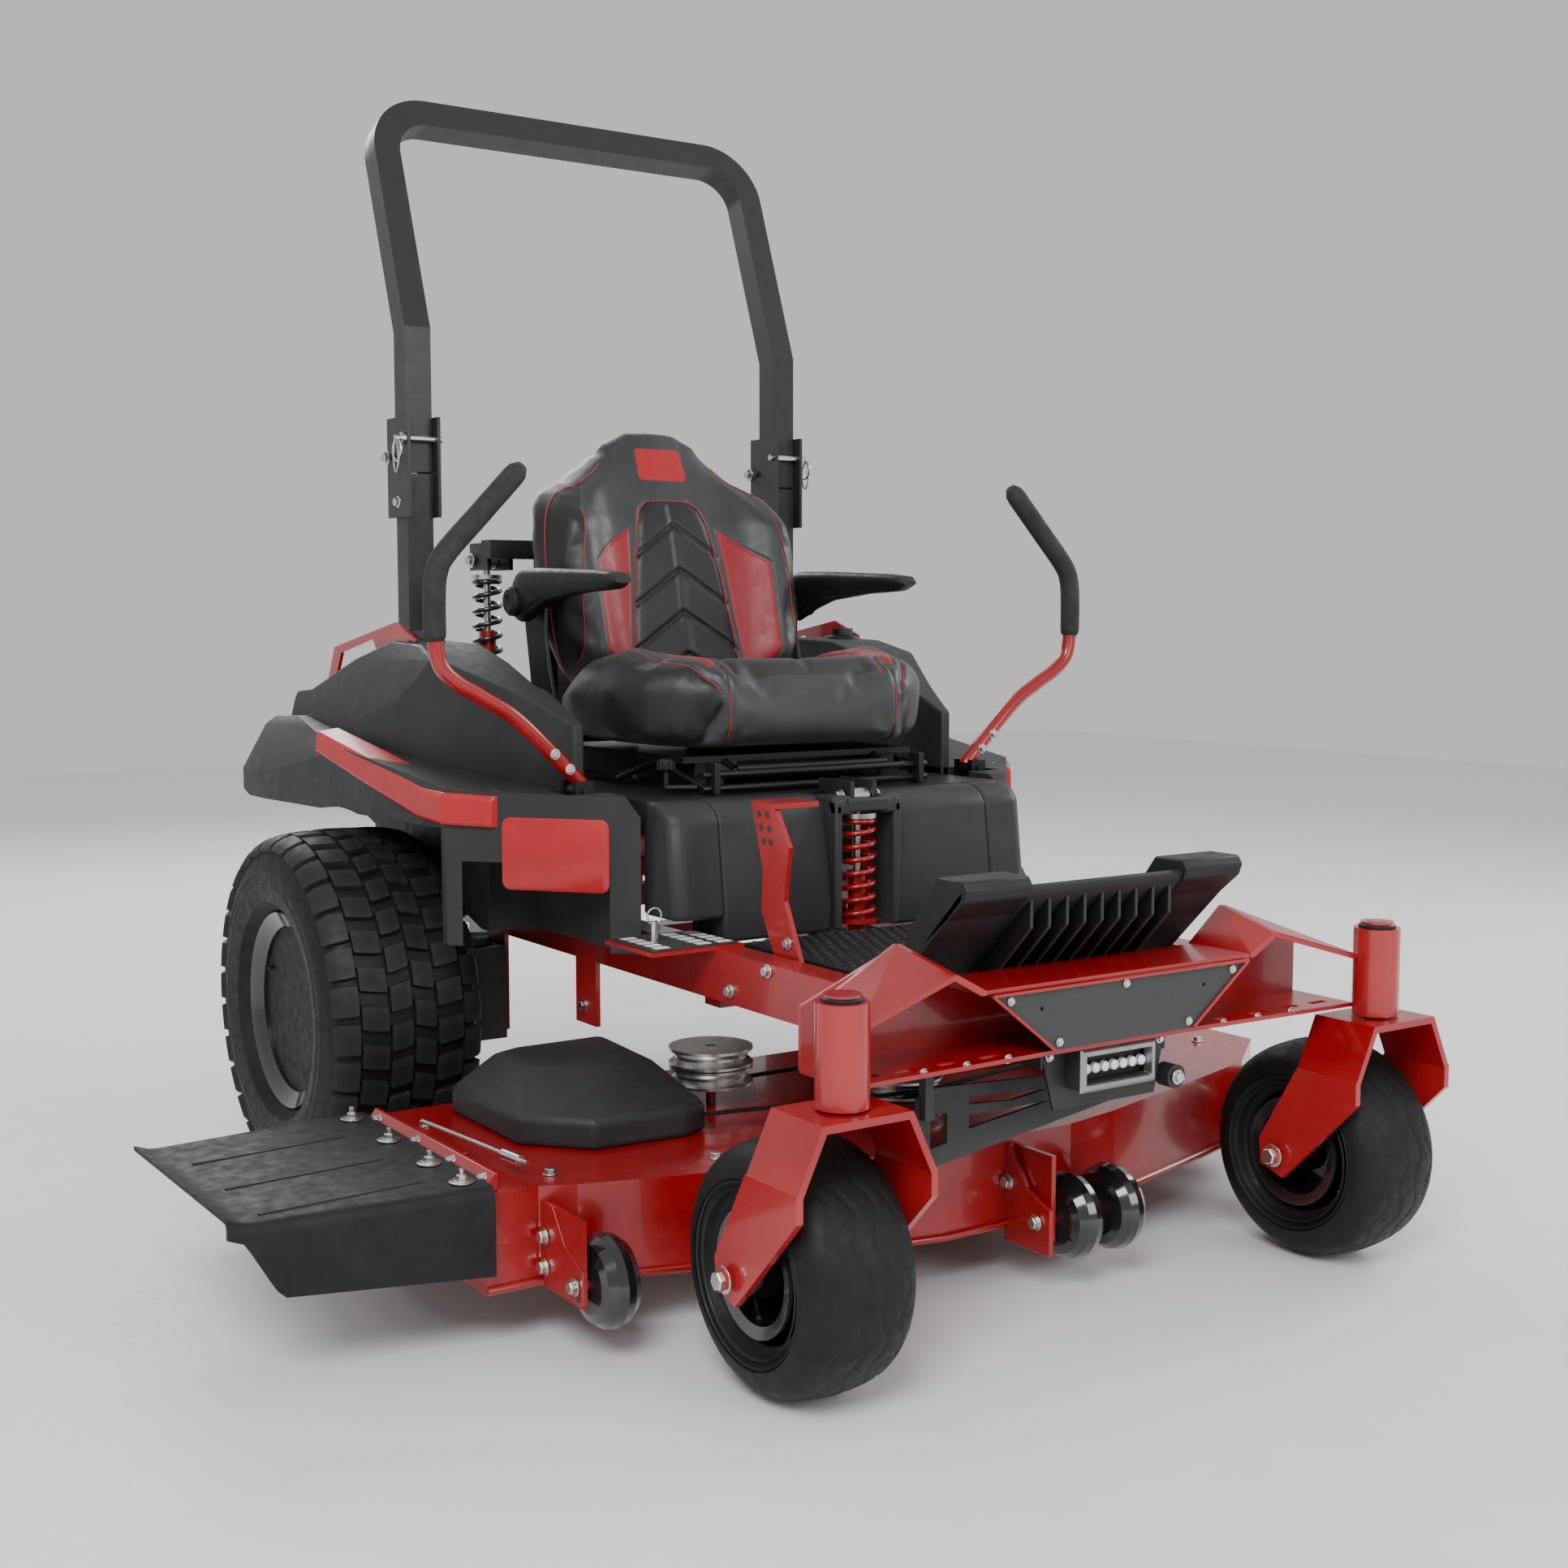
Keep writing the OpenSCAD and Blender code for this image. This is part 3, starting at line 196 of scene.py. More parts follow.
class Form:
    """Collects parts of one piece in design-frame millimetres."""

    def __init__(self):
        self.verts, self.faces, self.mats = [], [], []

    def add(self, verts, faces, mat=0):
        base = len(self.verts)
        self.verts += [tuple(v) for v in verts]
        self.faces += [[base + i for i in f] for f in faces]
        self.mats += [mat] * len(faces)

    def rings(self, rings, mat=0, closed=True, caps=True, loop=False):
        """Skins a list of equal-length point rings."""
        n, k = len(rings[0]), len(rings)
        faces = []
        for a in range(k if loop else k - 1):
            b = (a + 1) % k
            for i in range(n if closed else n - 1):
                j = (i + 1) % n
                faces.append([a * n + i, b * n + i, b * n + j, a * n + j])
        if caps and not loop and closed:
            faces.append(list(range(n)))
            faces.append([(k - 1) * n + i for i in reversed(range(n))])
        self.add([p for r in rings for p in r], faces, mat)

    def prism(self, outline, low, high, axis, mat=0):
        """Outline extruded along x, y or z; the outline is in the other two, in order."""
        def at(p, t):
            return {"x": (t, p[0], p[1]), "y": (p[0], t, p[1]), "z": (p[0], p[1], t)}[axis]
        self.rings([[at(p, low) for p in outline], [at(p, high) for p in outline]], mat)

    def block(self, x, y, z, mat=0):
        self.prism([(x[0], y[0]), (x[1], y[0]), (x[1], y[1]), (x[0], y[1])], z[0], z[1], "z", mat)

    def turn(self, profile, at, axis="x", n=64, mat=0, close=False):
        """Profile of (offset along axis, radius) turned about an axis through a point."""
        rings = []
        for off, r in profile:
            ring = []
            for i in range(n):
                a = 2 * math.pi * i / n
                c, s = r * math.cos(a), r * math.sin(a)
                d = {"x": (off, c, s), "y": (c, off, s), "z": (c, s, off)}[axis]
                ring.append((at[0] + d[0], at[1] + d[1], at[2] + d[2]))
            rings.append(ring)
        self.rings(rings, mat, caps=not close, loop=close)

    def bolt(self, at, direction, size=8.0, head=6.0, washer=True, mat=0):
        """Hexagon head on a washer, standing off a surface along a direction."""
        d = Vector(direction).normalized()
        side = d.orthogonal().normalized()
        up = d.cross(side)

        def ring(r, h, n, turn=0.0):
            return [tuple(Vector(at) + d * h + side * (r * math.cos(2 * math.pi * i / n + turn))
                          + up * (r * math.sin(2 * math.pi * i / n + turn))) for i in range(n)]
        base = 0.0
        if washer:
            self.rings([ring(size * 1.35, 0, 28), ring(size * 1.35, 1.2, 28), ring(size * 1.28, 1.6, 28)],
                       mat)
            base = 1.6
        self.rings([ring(size, base, 6), ring(size, base + head * 0.8, 6), ring(size * 0.86, base + head, 6)],
                   mat)

    def tube(self, points, r, n=12, mat=0, taper=None):
        """Round tube along points, with parallel-transported rings."""
        pts = [Vector(p) for p in points]
        rings, side = [], None
        for i, p in enumerate(pts):
            a = pts[max(i - 1, 0)]
            b = pts[min(i + 1, len(pts) - 1)]
            t = (b - a).normalized()
            if side is None:
                side = t.orthogonal().normalized()
            side = (side - t * side.dot(t)).normalized()
            up = t.cross(side)
            rr = r if taper is None else r * taper(i / (len(pts) - 1))
            rings.append([tuple(p + side * (rr * math.cos(2 * math.pi * k / n))
                                + up * (rr * math.sin(2 * math.pi * k / n))) for k in range(n)])
        self.rings(rings, mat)

    def mesh(self, name):
        m = bpy.data.meshes.new(name)
        m.from_pydata([P(*v) for v in self.verts], [], self.faces)
        m.polygons.foreach_set("material_index", self.mats)
        m.update()
        bm = bmesh.new()
        bm.from_mesh(m)
        bmesh.ops.recalc_face_normals(bm, faces=bm.faces)
        bm.to_mesh(m)
        bm.free()
        return m


def smooth_path(points, steps=8):
    """Catmull-Rom curve through points."""
    p = [Vector(q) for q in points]
    p = [2 * p[0] - p[1]] + p + [2 * p[-1] - p[-2]]
    out = []
    for i in range(1, len(p) - 2):
        for k in range(steps):
            t = k / steps
            out.append(0.5 * ((2 * p[i]) + (p[i + 1] - p[i - 1]) * t
                              + (2 * p[i - 1] - 5 * p[i] + 4 * p[i + 1] - p[i + 2]) * t * t
                              + (3 * p[i] - p[i - 1] - 3 * p[i + 1] + p[i + 2]) * t ** 3))
    out.append(p[-2])
    return [tuple(q) for q in out]


def flip(points, s):
    return [(s * p[0], *p[1:]) for p in points]


def name_side(s):
    return "left" if s == LEFT else "right"


# ---------------------------------------------------------------- wheels

def section_point(profile, s):
    """Point and outward normal at arc length s on an (offset, radius) profile."""
    for (a, b) in zip(profile, profile[1:]):
        length = math.dist(a, b)
        if s <= length or b is profile[-1]:
            t = s / length
            n = (-(b[1] - a[1]) / length, (b[0] - a[0]) / length)
            return (a[0] + (b[0] - a[0]) * t, a[1] + (b[1] - a[1]) * t), n
        s -= length
    return profile[-1], (0, 1)


def rear_tyre(s):
    """Carcass with separate tread blocks in five staggered rows and shoulder lugs."""
    w, r = TYRE_HALF, TYRE_R
    rim_r = 152
    side_profile = [(-w + 46, rim_r + 2), (-w + 30, rim_r + 16), (-w + 8, rim_r + 34), (-w + 1, rim_r + 62),
                    (-w + 2, rim_r + 88), (-w + 8, r - 50), (-w + 14, r - 34)]
    crown = [(-w + 14, r - 34), (-w + 24, r - 22), (-w + 44, r - 15), (-w + 80, r - 12), (0, r - 10),
             (w - 80, r - 12), (w - 44, r - 15), (w - 24, r - 22), (w - 14, r - 34)]
    profile = side_profile[:-1] + crown + [(-a, b) for a, b in reversed(side_profile[:-1])]
    at = (s * TRACK, 0, TYRE_R)
    form = Form()
    form.turn([(a, b) for a, b in profile], at, n=120)
    # Moulded rings on the sidewall
    for x, rr in ((w - 1.5, rim_r + 66), (w - 2, rim_r + 84), (w - 9, rim_r + 40)):
        for q in (-1, 1):
            form.turn([(q * (x - 1.5), rr - 2), (q * (x + 1.2), rr), (q * (x - 1.5), rr + 2)], at, n=96,
                      close=True)
    total = sum(math.dist(a, b) for a, b in zip(crown, crown[1:]))
    count = 30
    rows = [(0.00, 0.15, 0.0, 0.80, 0.0), (0.165, 0.335, 0.5, 0.62, 0.10), (0.355, 0.49, 0.0, 0.66, -0.12),
            (0.51, 0.645, 0.5, 0.66, 0.12), (0.665, 0.835, 0.0, 0.62, -0.10), (0.85, 1.00, 0.5, 0.80, 0.0)]
    step = 2 * math.pi / count
    for s0, s1, phase, fill, skew in rows:
        for k in range(count):
            th = (k + phase) * step
            grid_top, grid_low = [], []
            for i in range(4):
                u = i / 3
                arc = (s0 + (s1 - s0) * u) * total
                (off, rad), (nx, nr) = section_point(crown, arc)
                edge = min(1.0, min(u, 1 - u) * 3)
                row_t, row_l = [], []
                for j in range(4):
                    v = j / 3
                    inner = 0.94 if edge == 0 or j in (0, 3) else 1.0
                    a = th + step * (fill * (v - 0.5) * (0.95 if edge == 0 else 1) + skew * (u - 0.5))
                    h = 10.0 * inner
                    for row, hh in ((row_t, h), (row_l, -2.0)):
                        spread = 1.0 if hh > 0 else 1.12
                        aa = th + (a - th) * spread
                        rr = rad + nr * hh
                        oo = off + nx * hh
                        row.append((at[0] + oo, at[1] + rr * math.cos(aa), at[2] + rr * math.sin(aa)))
                grid_top.append(row_t)
                grid_low.append(row_l)
            border = [(i, 0) for i in range(4)] + [(3, j) for j in range(1, 4)] \
                + [(i, 3) for i in (2, 1, 0)] + [(0, j) for j in (2, 1)]
            verts = [p for row in grid_top for p in row] + [grid_low[i][j] for i, j in border]
            faces = [[i * 4 + j, (i + 1) * 4 + j, (i + 1) * 4 + j + 1, i * 4 + j + 1]
                     for i in range(3) for j in range(3)]
            m = len(border)
            for q in range(m):
                a, b = border[q], border[(q + 1) % m]
                faces.append([a[0] * 4 + a[1], b[0] * 4 + b[1], 16 + (q + 1) % m, 16 + q])
            form.add(verts, faces)
    name = f"rear_tread_{name_side(s)}"
    obj = piece(name, form.mesh(name), "tyre", f"rear_wheel_{name_side(s)}", smooth=32)
    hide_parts(f"rear_tyre_{name_side(s)}")


def caster_tyre(s):
    """Smooth caster tyre with wandering sipes across its crown."""
    w, r = CASTER_HALF, CASTER_R
    rim = 92
    base = [(-58, rim), (-62, rim + 10), (-w + 8, rim + 18), (-w + 1, rim + 30), (-w, r - 46),
            (-w + 3, r - 32),
            (-w + 9, r - 21), (-w + 19, r - 12), (-w + 32, r - 6), (-w + 50, r - 2.5), (-w + 66, r - 1),
            (0, r)]
    fine = [(p[0], p[1]) for p in smooth_path([(a, b, 0) for a, b in base], 4)]
    profile = fine + [(-a, b) for a, b in reversed(fine[:-1])]
    at = (s * CASTER_X, -WHEELBASE, CASTER_R)
    turns, form, rings = 240, Form(), []
    for off, rad in profile:
        ring = []
        for i in range(turns):
            a = 2 * math.pi * i / turns
            d = 0.0
            if rad > r - 24:
                for base_off in (-46, -16, 16, 46):
                    wave = base_off + 7 * math.sin(12 * a + base_off)
                    d = max(d, 2.6 * max(0.0, 1 - abs(off - wave) / 3.2))
                if abs(math.sin(9 * a + 0.03 * off)) < 0.05 and abs(off) < 60:
                    d = max(d, 1.6)
            rr = rad - d
            ring.append((at[0] + off, at[1] + rr * math.cos(a), at[2] + rr * math.sin(a)))
        rings.append(ring)
    form.rings(rings, caps=False)
    for q in (-1, 1):
        for x, rr in ((w - 0.5, r - 50), (w - 3, r - 60)):
            form.turn([(q * (x - 1.5), rr - 1.5), (q * (x + 0.8), rr), (q * (x - 1.5), rr + 1.5)], at, n=80,
                      close=True)
    name = f"caster_tread_{name_side(s)}"
    obj = piece(name, form.mesh(name), "tyre", f"caster_wheel_{name_side(s)}", smooth=50)
    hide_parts(f"caster_tyre_{name_side(s)}")


def wheel_trim(s):
    """Valve stems, hub caps and wheel nuts."""
    side = name_side(s)
    form = Form()
    x = s * TRACK
    for k in range(5):
        a = math.radians(72 * k)
        form.bolt((x + s * 3, 57 * math.cos(a), TYRE_R + 57 * math.sin(a)), (s, 0, 0), 10, 11)
    form.turn([(s * 20, 34), (s * 27, 33), (s * 34, 26), (s * 38, 12), (s * 38, 0.5)], (x, 0, TYRE_R), n=48)
    form.tube([(x + s * 60, 118, TYRE_R + 60), (x + s * 84, 112, TYRE_R + 57),
               (x + s * 98, 106, TYRE_R + 54)],
              4, 12, 1)
    piece(f"wheel_nuts_{side}", form.mesh("nuts"), ["zinc", "rubber"], f"rear_wheel_{side}",
          bevel=0.5)
    form = Form()
    cx = s * CASTER_X
    for q in (-1, 1):
        form.turn([(q * 30, 34), (q * 60, 32), (q * 84, 26), (q * 86, 20), (q * 86, 16)],
                  (cx, -WHEELBASE, CASTER_R), n=48)
        for k in range(4):
            a = math.radians(45 + 90 * k)
            form.bolt((cx + q * 27, -WHEELBASE + 52 * math.cos(a), CASTER_R + 52 * math.sin(a)), (q, 0, 0), 7,
                      6)
    form.tube([(cx - s * 28, -WHEELBASE + 62, CASTER_R + 20), (cx - s * 60, -WHEELBASE + 66, CASTER_R + 24)],
              3.5, 10)
    piece(f"caster_hub_{side}", form.mesh("hub"), "gloss_black", f"caster_wheel_{side}",
          bevel=0.5)


# ---------------------------------------------------------------- upholstery

def zone_mix(mat, zones):
    """Colours a surface by named signed-distance attributes, first to last."""
    n, link = nodes_of(mat)
    bsdf = n["Principled BSDF"]
    current = bsdf.inputs["Base Color"].links[0].from_socket
    for name, colour in zones:
        a = n.new("ShaderNodeAttribute")
        a.attribute_name = name
        step = n.new("ShaderNodeMapRange")
        step.inputs["From Min"].default_value = -0.0004
        step.inputs["From Max"].default_value = 0.0004
        link.new(a.outputs["Fac"], step.inputs["Value"])
        m = n.new("ShaderNodeMix")
        m.data_type = "RGBA"
        link.new(step.outputs["Result"], m.inputs["Factor"])
        link.new(current, m.inputs[6])
        m.inputs[7].default_value = (*colour, 1)
        current = m.outputs[2]
    link.new(current, bsdf.inputs["Base Color"])


def signed_distance(poly, p):
    """Distance to a polygon's edge, positive inside."""
    inside, best = False, 1e9
    j = len(poly) - 1
    for i in range(len(poly)):
        (ax, ay), (bx, by) = poly[j], poly[i]
        if (ay > p[1]) != (by > p[1]) and p[0] < (bx - ax) * (p[1] - ay) / (by - ay) + ax:
            inside = not inside
        dx, dy = bx - ax, by - ay
        t = max(0.0, min(1.0, ((p[0] - ax) * dx + (p[1] - ay) * dy) / (dx * dx + dy * dy)))
        best = min(best, math.hypot(p[0] - ax - dx * t, p[1] - ay - dy * t))
        j = i
    return best if inside else -best


def to_design(v):
    return v.x * 1000 + X_MID, v.y * 1000 + Y_MID, v.z * 1000


def segment_distance(a, b, p):
    dx, dy = b[0] - a[0], b[1] - a[1]
    t = max(0.0, min(1.0, ((p[0] - a[0]) * dx + (p[1] - a[1]) * dy) / (dx * dx + dy * dy)))
    return math.hypot(p[0] - a[0] - dx * t, p[1] - a[1] - dy * t)


def stuffed(name, form, cap, pinned):
    """Inflates a closed form with cloth pressure, caps how far each point moves, then subdivides."""
    mesh = form.mesh(name)
    obj = bpy.data.objects.new(name, mesh)
    bpy.context.scene.collection.objects.link(obj)
    bpy.context.view_layer.objects.active = obj
    obj.select_set(True)
    r = obj.modifiers.new("remesh", "REMESH")
    r.mode = "VOXEL"
    r.voxel_size = 0.006
    bpy.ops.object.modifier_apply(modifier="remesh")
    mesh = obj.data
    start = [v.co.copy() for v in mesh.vertices]
    group = obj.vertex_groups.new(name="pin")
    for v in mesh.vertices:
        if pinned(*to_design(v.co)):
            group.add([v.index], 1.0, "REPLACE")
    c = obj.modifiers.new("cloth", "CLOTH")
    c.settings.use_pressure = True
    c.settings.uniform_pressure_force = 4
    c.settings.effector_weights.gravity = 0
    c.settings.vertex_group_mass = "pin"
    c.settings.quality = 4
    c.settings.tension_stiffness = 12
    c.settings.bending_stiffness = 1.5
    for f in range(1, 21):
        bpy.context.scene.frame_set(f)
    moved = obj.evaluated_get(bpy.context.evaluated_depsgraph_get()).to_mesh()
    places = [v.co.copy() for v in moved.vertices]
    obj.modifiers.clear()
    for v, a, b in zip(mesh.vertices, start, places):
        step = b - a
        if step.length > cap:
            step *= cap / step.length
        v.co = a + step
    bpy.context.scene.frame_set(1)
    for _ in range(3):
        bm = bmesh.new()
        bm.from_mesh(mesh)
        bmesh.ops.smooth_vert(bm, verts=bm.verts, factor=0.5, use_axis_x=True, use_axis_y=True,
                              use_axis_z=True)
        bm.to_mesh(mesh)
        bm.free()
    s = obj.modifiers.new("subdivide", "SUBSURF")
    s.levels = s.render_levels = 1
    bpy.ops.object.modifier_apply(modifier="subdivide")
    obj.select_set(False)
    obj.data.shade_smooth()
    return obj


def store(obj, name, value):
    attr = obj.data.attributes.new(name, "FLOAT", "POINT")
    attr.data.foreach_set("value", [value(*to_design(v.co)) / 1000 for v in obj.data.vertices])


def seam(name, obj, lines, ray, body, r=1.0, offset=0.6):
    """Raised stitching laid on a surface by casting each point along a direction."""
    tree = BVHTree.FromObject(obj, bpy.context.evaluated_depsgraph_get())
    form = Form()
    for line in lines:
        hits = []
        for p in smooth_path([(*q, 0) if len(q) == 2 else q for q in line], 7):
            origin, d = ray(p)
            hit, normal, _, _ = tree.ray_cast(P(*origin), Vector(d), 1.5)
            if hit:
                hits.append(tuple(Vector(to_design(hit)) + normal * offset))
        if len(hits) > 2:
            form.tube(hits, r, 6)
    return piece(name, form.mesh(name), "thread", body)


def lerp_table(table, t):
    for (a, va), (b, vb) in zip(table, table[1:]):
        if t <= b:
            k = (t - a) / (b - a)
            k = max(0.0, min(1.0, k))
            return va + (vb - va) * k
    return table[-1][1]


def ease(t):
    t = max(0.0, min(1.0, t))
    return t * t * (3 - 2 * t)


FRONT = [(795, -138), (860, -132), (920, -122), (982, -108), (1060, -93), (1141, -72), (1177, -55),
         (1250, -24), (1300, -6), (1324, 4)]
HALF = [(795, 150), (830, 190), (880, 228), (940, 248), (1020, 256), (1110, 258), (1170, 252), (1200, 236),
        (1240, 178), (1283, 112), (1308, 92), (1318, 74)]


def seat_back():
    body, form, rings = "seat", Form(), []
    levels = [800 + 516 * i / 30 for i in range(31)]
    for k, z in enumerate(levels):
        w, front = lerp_table(HALF, z), lerp_table(FRONT, z)
        thick = lerp_table([(795, 84), (900, 96), (1100, 92), (1250, 66), (1318, 40)], z)
        wing = 56 * ease((z - 800) / 120) * (1 - ease((z - 1130) / 130))
        shrink = 1 - 0.35 * ease((z - 1296) / 24) - 0.25 * ease((822 - z) / 22)
        w *= shrink
        ring = []
        n = 26
        for i in range(n + 1):
            u = -1 + 2 * i / n
            x = w * u
            ridge = math.exp(-((abs(x) - 0.80 * w) / (0.17 * w)) ** 2)
            side = ease((abs(u) - 0.9) / 0.1)
            y = front - wing * ridge * (1 - 0.5 * side) + side * thick * 0.45 - 8 * (1 - u * u)
            ring.append((x, y, z))
        for i in range(n + 1):
            u = 1 - 2 * i / n
            side = ease((abs(u) - 0.82) / 0.18)
            ring.append((w * u * 0.985, front + thick - side * thick * 0.4, z))
        rings.append(ring)
    form.rings(rings)
    obj = stuffed("seat_back_pad", form, 0.016, lambda x, y, z: y > lerp_table(FRONT, z) + 70)
    pad = [(0, 1184), (44, 1182), (62, 1168), (72, 1140), (88, 1060), (98, 985), (108, 900), (114, 800),
           (0, 800)]
    pad_full = pad[1:-1] + [(-x, z) for x, z in reversed(pad[1:-1])]
    chevrons = [((0, 1141), (90, 1080)), ((0, 1059), (100, 992)), ((0, 982), (108, 912)),
                ((0, 906), (110, 838))]
    piping = [(a, b) for a, b in zip(pad[1:-1], pad[2:-1])]
    red = [(92, 1134), (118, 1118), (182, 1074), (184, 914), (142, 850), (124, 850), (108, 978)]
    side = [(206, 780), (222, 900), (215, 1060), (200, 1165), (150, 1242), (104, 1300), (90, 1400),
            (400, 1400),
            (400, 780)]
    patch = [(-46, 1222), (46, 1222), (50, 1228), (48, 1276), (42, 1281), (-42, 1281), (-48, 1276),
             (-50, 1228)]
    normals = [v.normal.copy() for v in obj.data.vertices]
    for v, nrm in zip(obj.data.vertices, normals):
        x, y, z = to_design(v.co)
        if y > lerp_table(FRONT, z) + 40:
            continue
        q = (abs(x), z)
        inside = signed_distance(pad, q)
        d = 0.0
        if inside > -2 or abs(x) < 2:
            d -= 5.0 * math.exp(-(min(segment_distance(a, b, q) for a, b in chevrons) / 4.2) ** 2)
            d += 3.0 * ease(max(0.0, inside) / 16)
        d -= 4.0 * math.exp(-(min(segment_distance(a, b, q) for a, b in piping) / 3.6) ** 2)
        d -= 2.2 * math.exp(-(signed_distance(red, q) / 2.8) ** 2)
        v.co += nrm * (d / 1000)
    front_side = lambda x, y, z: y < lerp_table(FRONT, z) + 38
    store(obj, "zone_pad", lambda x, y, z: signed_distance(pad_full, (x, z)) if front_side(x, y, z) else -9)
    store(obj, "zone_red", lambda x, y, z: signed_distance(red, (abs(x), z)) if front_side(x, y, z) else -9)
    store(obj, "zone_side", lambda x, y, z: max(signed_distance(side, (abs(x), z)),
                                                y - lerp_table(FRONT, z) - 34))
    store(obj, "zone_patch", lambda x, y, z: signed_distance(patch, (x, z)) if front_side(x, y, z) else -9)
    mat = finish("seat_back_cover", (0.022, 0.0235, 0.026), 0.42, grain=900, relief=0.00014, cells=True,
                 sheen=0.08)
    zone_mix(mat, [("zone_side", BLACK), ("zone_pad", BLACK), ("zone_red", (0.25, 0.003, 0.008)),
                   ("zone_patch", (0.36, 0.003, 0.007))])
    obj.data.materials.clear()
    obj.data.materials.append(mat)
    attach(obj, body)
    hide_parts("seat_back")
    ray = lambda p: ((p[0], -500, p[1]), (0, 1, 0))
    lines = []
    for s in (LEFT, RIGHT):
        lines.append([(s * a, b) for a, b in pad[1:-1]])
        lines.append([(s * a, b) for a, b in side[:4]])
    lines.append([(-44, 1182), (0, 1185), (44, 1182)])
    seam("seat_back_stitching", obj, lines, ray, body, r=0.9)
    outer = [[(s * 400, y, z) for y, z in ((-92, 860), (-96, 960), (-84, 1080), (-62, 1180), (-30, 1250))]
             for s in (LEFT, RIGHT)]
    seam("seat_back_side_stitching", obj, outer, lambda p: (p, (-1 if p[0] > 0 else 1, 0, 0)), body, r=0.9)


def seat_cushion():
    body, form, rings = "seat", Form(), []
    for k in range(27):
        t = k / 26
        y = -562 + 402 * t
        w = lerp_table([(-562, 172), (-552, 192), (-520, 240), (-470, 284), (-400, 304), (-250, 300),
                        (-160, 270)], y)
        centre = lerp_table([(-562, 872), (-550, 884), (-510, 886), (-440, 874), (-340, 856), (-160, 844)], y)
        lift = lerp_table([(-562, 0), (-530, 4), (-450, 26), (-370, 52), (-260, 48), (-160, 24)], y)
        low = 762 + 12 * ease(1 - t * 9)
        ring = []
        n = 24
        for i in range(n + 1):
            u = -1 + 2 * i / n
            ridge = math.exp(-((abs(u) - 0.80) / 0.17) ** 2)
            side = ease((abs(u) - 0.90) / 0.10)
            ring.append((w * u, y,
                         centre + lift * ridge - side * (centre - low) * 0.24 - 4 * ease(1 - t * 12)))
        for i in range(n + 1):
            u = 1 - 2 * i / n
            side = ease((abs(u) - 0.80) / 0.20)
            ring.append((w * u * 0.97, y, low + side * 14))
        rings.append(ring)
    form.rings(rings)
    obj = stuffed("seat_cushion_pad", form, 0.018, lambda x, y, z: z < 770)
    side = [(168, -700), (170, -560), (200, -528), (236, -460), (250, -330), (238, -150), (400, -150),
            (400, -700)]
    pad = [(0, -538), (150, -538), (158, -400), (140, -150), (0, -150)]
    pad_full = pad[1:-1] + [(-x, y) for x, y in reversed(pad[1:-1])]
    red = [(168, -512), (186, -520), (216, -440), (228, -340), (222, -250), (206, -250), (208, -340),
           (196, -430)]
    normals = [v.normal.copy() for v in obj.data.vertices]
    for v, nrm in zip(obj.data.vertices, normals):
        x, y, z = to_design(v.co)
        q = (abs(x), y)
        d = 0.0
        if nrm.z > 0.2:
            d -= 4.0 * math.exp(-(min(segment_distance(a, b, q) for a,
                                      b in zip(pad[1:], pad[2:-1])) / 4) ** 2)
            d -= 2.0 * math.exp(-(signed_distance(red, q) / 3) ** 2)
            d += 3.0 * ease(max(0.0, signed_distance(pad, (abs(x), y)) if abs(x) > 1 else 40) / 20)
        d -= 3.0 * math.exp(-(min(segment_distance(a, b, q) for a, b in zip(side[1:5], side[2:6])) / 4) ** 2)
        if y < -520:
            d -= 3.0 * math.exp(-((abs(x) - 166) / 4) ** 2)
        v.co += nrm * (d / 1000)
    top = lambda x, y, z: z > 826
    store(obj, "zone_pad", lambda x, y, z: signed_distance(pad_full, (x, y)) if top(x, y, z) else -9)
    store(obj, "zone_red", lambda x, y, z: signed_distance(red, (abs(x), y)) if top(x, y, z) else -9)
    store(obj, "zone_side", lambda x, y, z: signed_distance(side, (abs(x), y)))
    mat = finish("seat_cushion_cover", (0.022, 0.0235, 0.026), 0.42, grain=900, relief=0.00014, cells=True,
                 sheen=0.08)
    zone_mix(mat,
             [("zone_side", BLACK), ("zone_pad", (0.012, 0.0125, 0.013)), ("zone_red", (0.25, 0.003, 0.008))])
    obj.data.materials.clear()
    obj.data.materials.append(mat)
    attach(obj, body)
    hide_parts("seat_cushion")
    down = lambda p: ((p[0], p[1], 1200), (0, 0, -1))
    lines = []
    for s in (LEFT, RIGHT):
        lines.append([(s * a, b) for a, b in side[1:6]])
        lines.append([(s * a, b) for a, b in pad[1:-1]])
    seam("seat_cushion_stitching", obj, lines, down, body, r=0.9)
    front = [[(s * 166, z, 0) for z in (778, 800, 830, 856)] for s in (LEFT, RIGHT)]
    seam("seat_cushion_front_stitching", obj, front, lambda p: ((p[0], -800, p[1]), (0, 1, 0)), body, r=0.9)


# ---------------------------------------------------------------- pods

def carve(form, cuts):
    """Boolean of forms: cuts is a list of (operation, form)."""
    made = []

    def temp(f):
        o = bpy.data.objects.new("temp", f.mesh("temp"))
        bpy.context.scene.collection.objects.link(o)
        made.append(o)
        return o
    base = temp(form)
    for operation, f in cuts:
        m = base.modifiers.new(operation, "BOOLEAN")
        m.operation, m.solver, m.object = operation, "EXACT", temp(f)
    out = bpy.data.meshes.new_from_object(base.evaluated_get(bpy.context.evaluated_depsgraph_get()))
    for o in made:
        bpy.data.objects.remove(o)
    out.materials.clear()
    return out


def prism_form(outline, low, high, axis, s=1):
    f = Form()
    f.prism(outline, low, high, axis)
    f.verts = [(s * x, y, z) for x, y, z in f.verts]
    return f


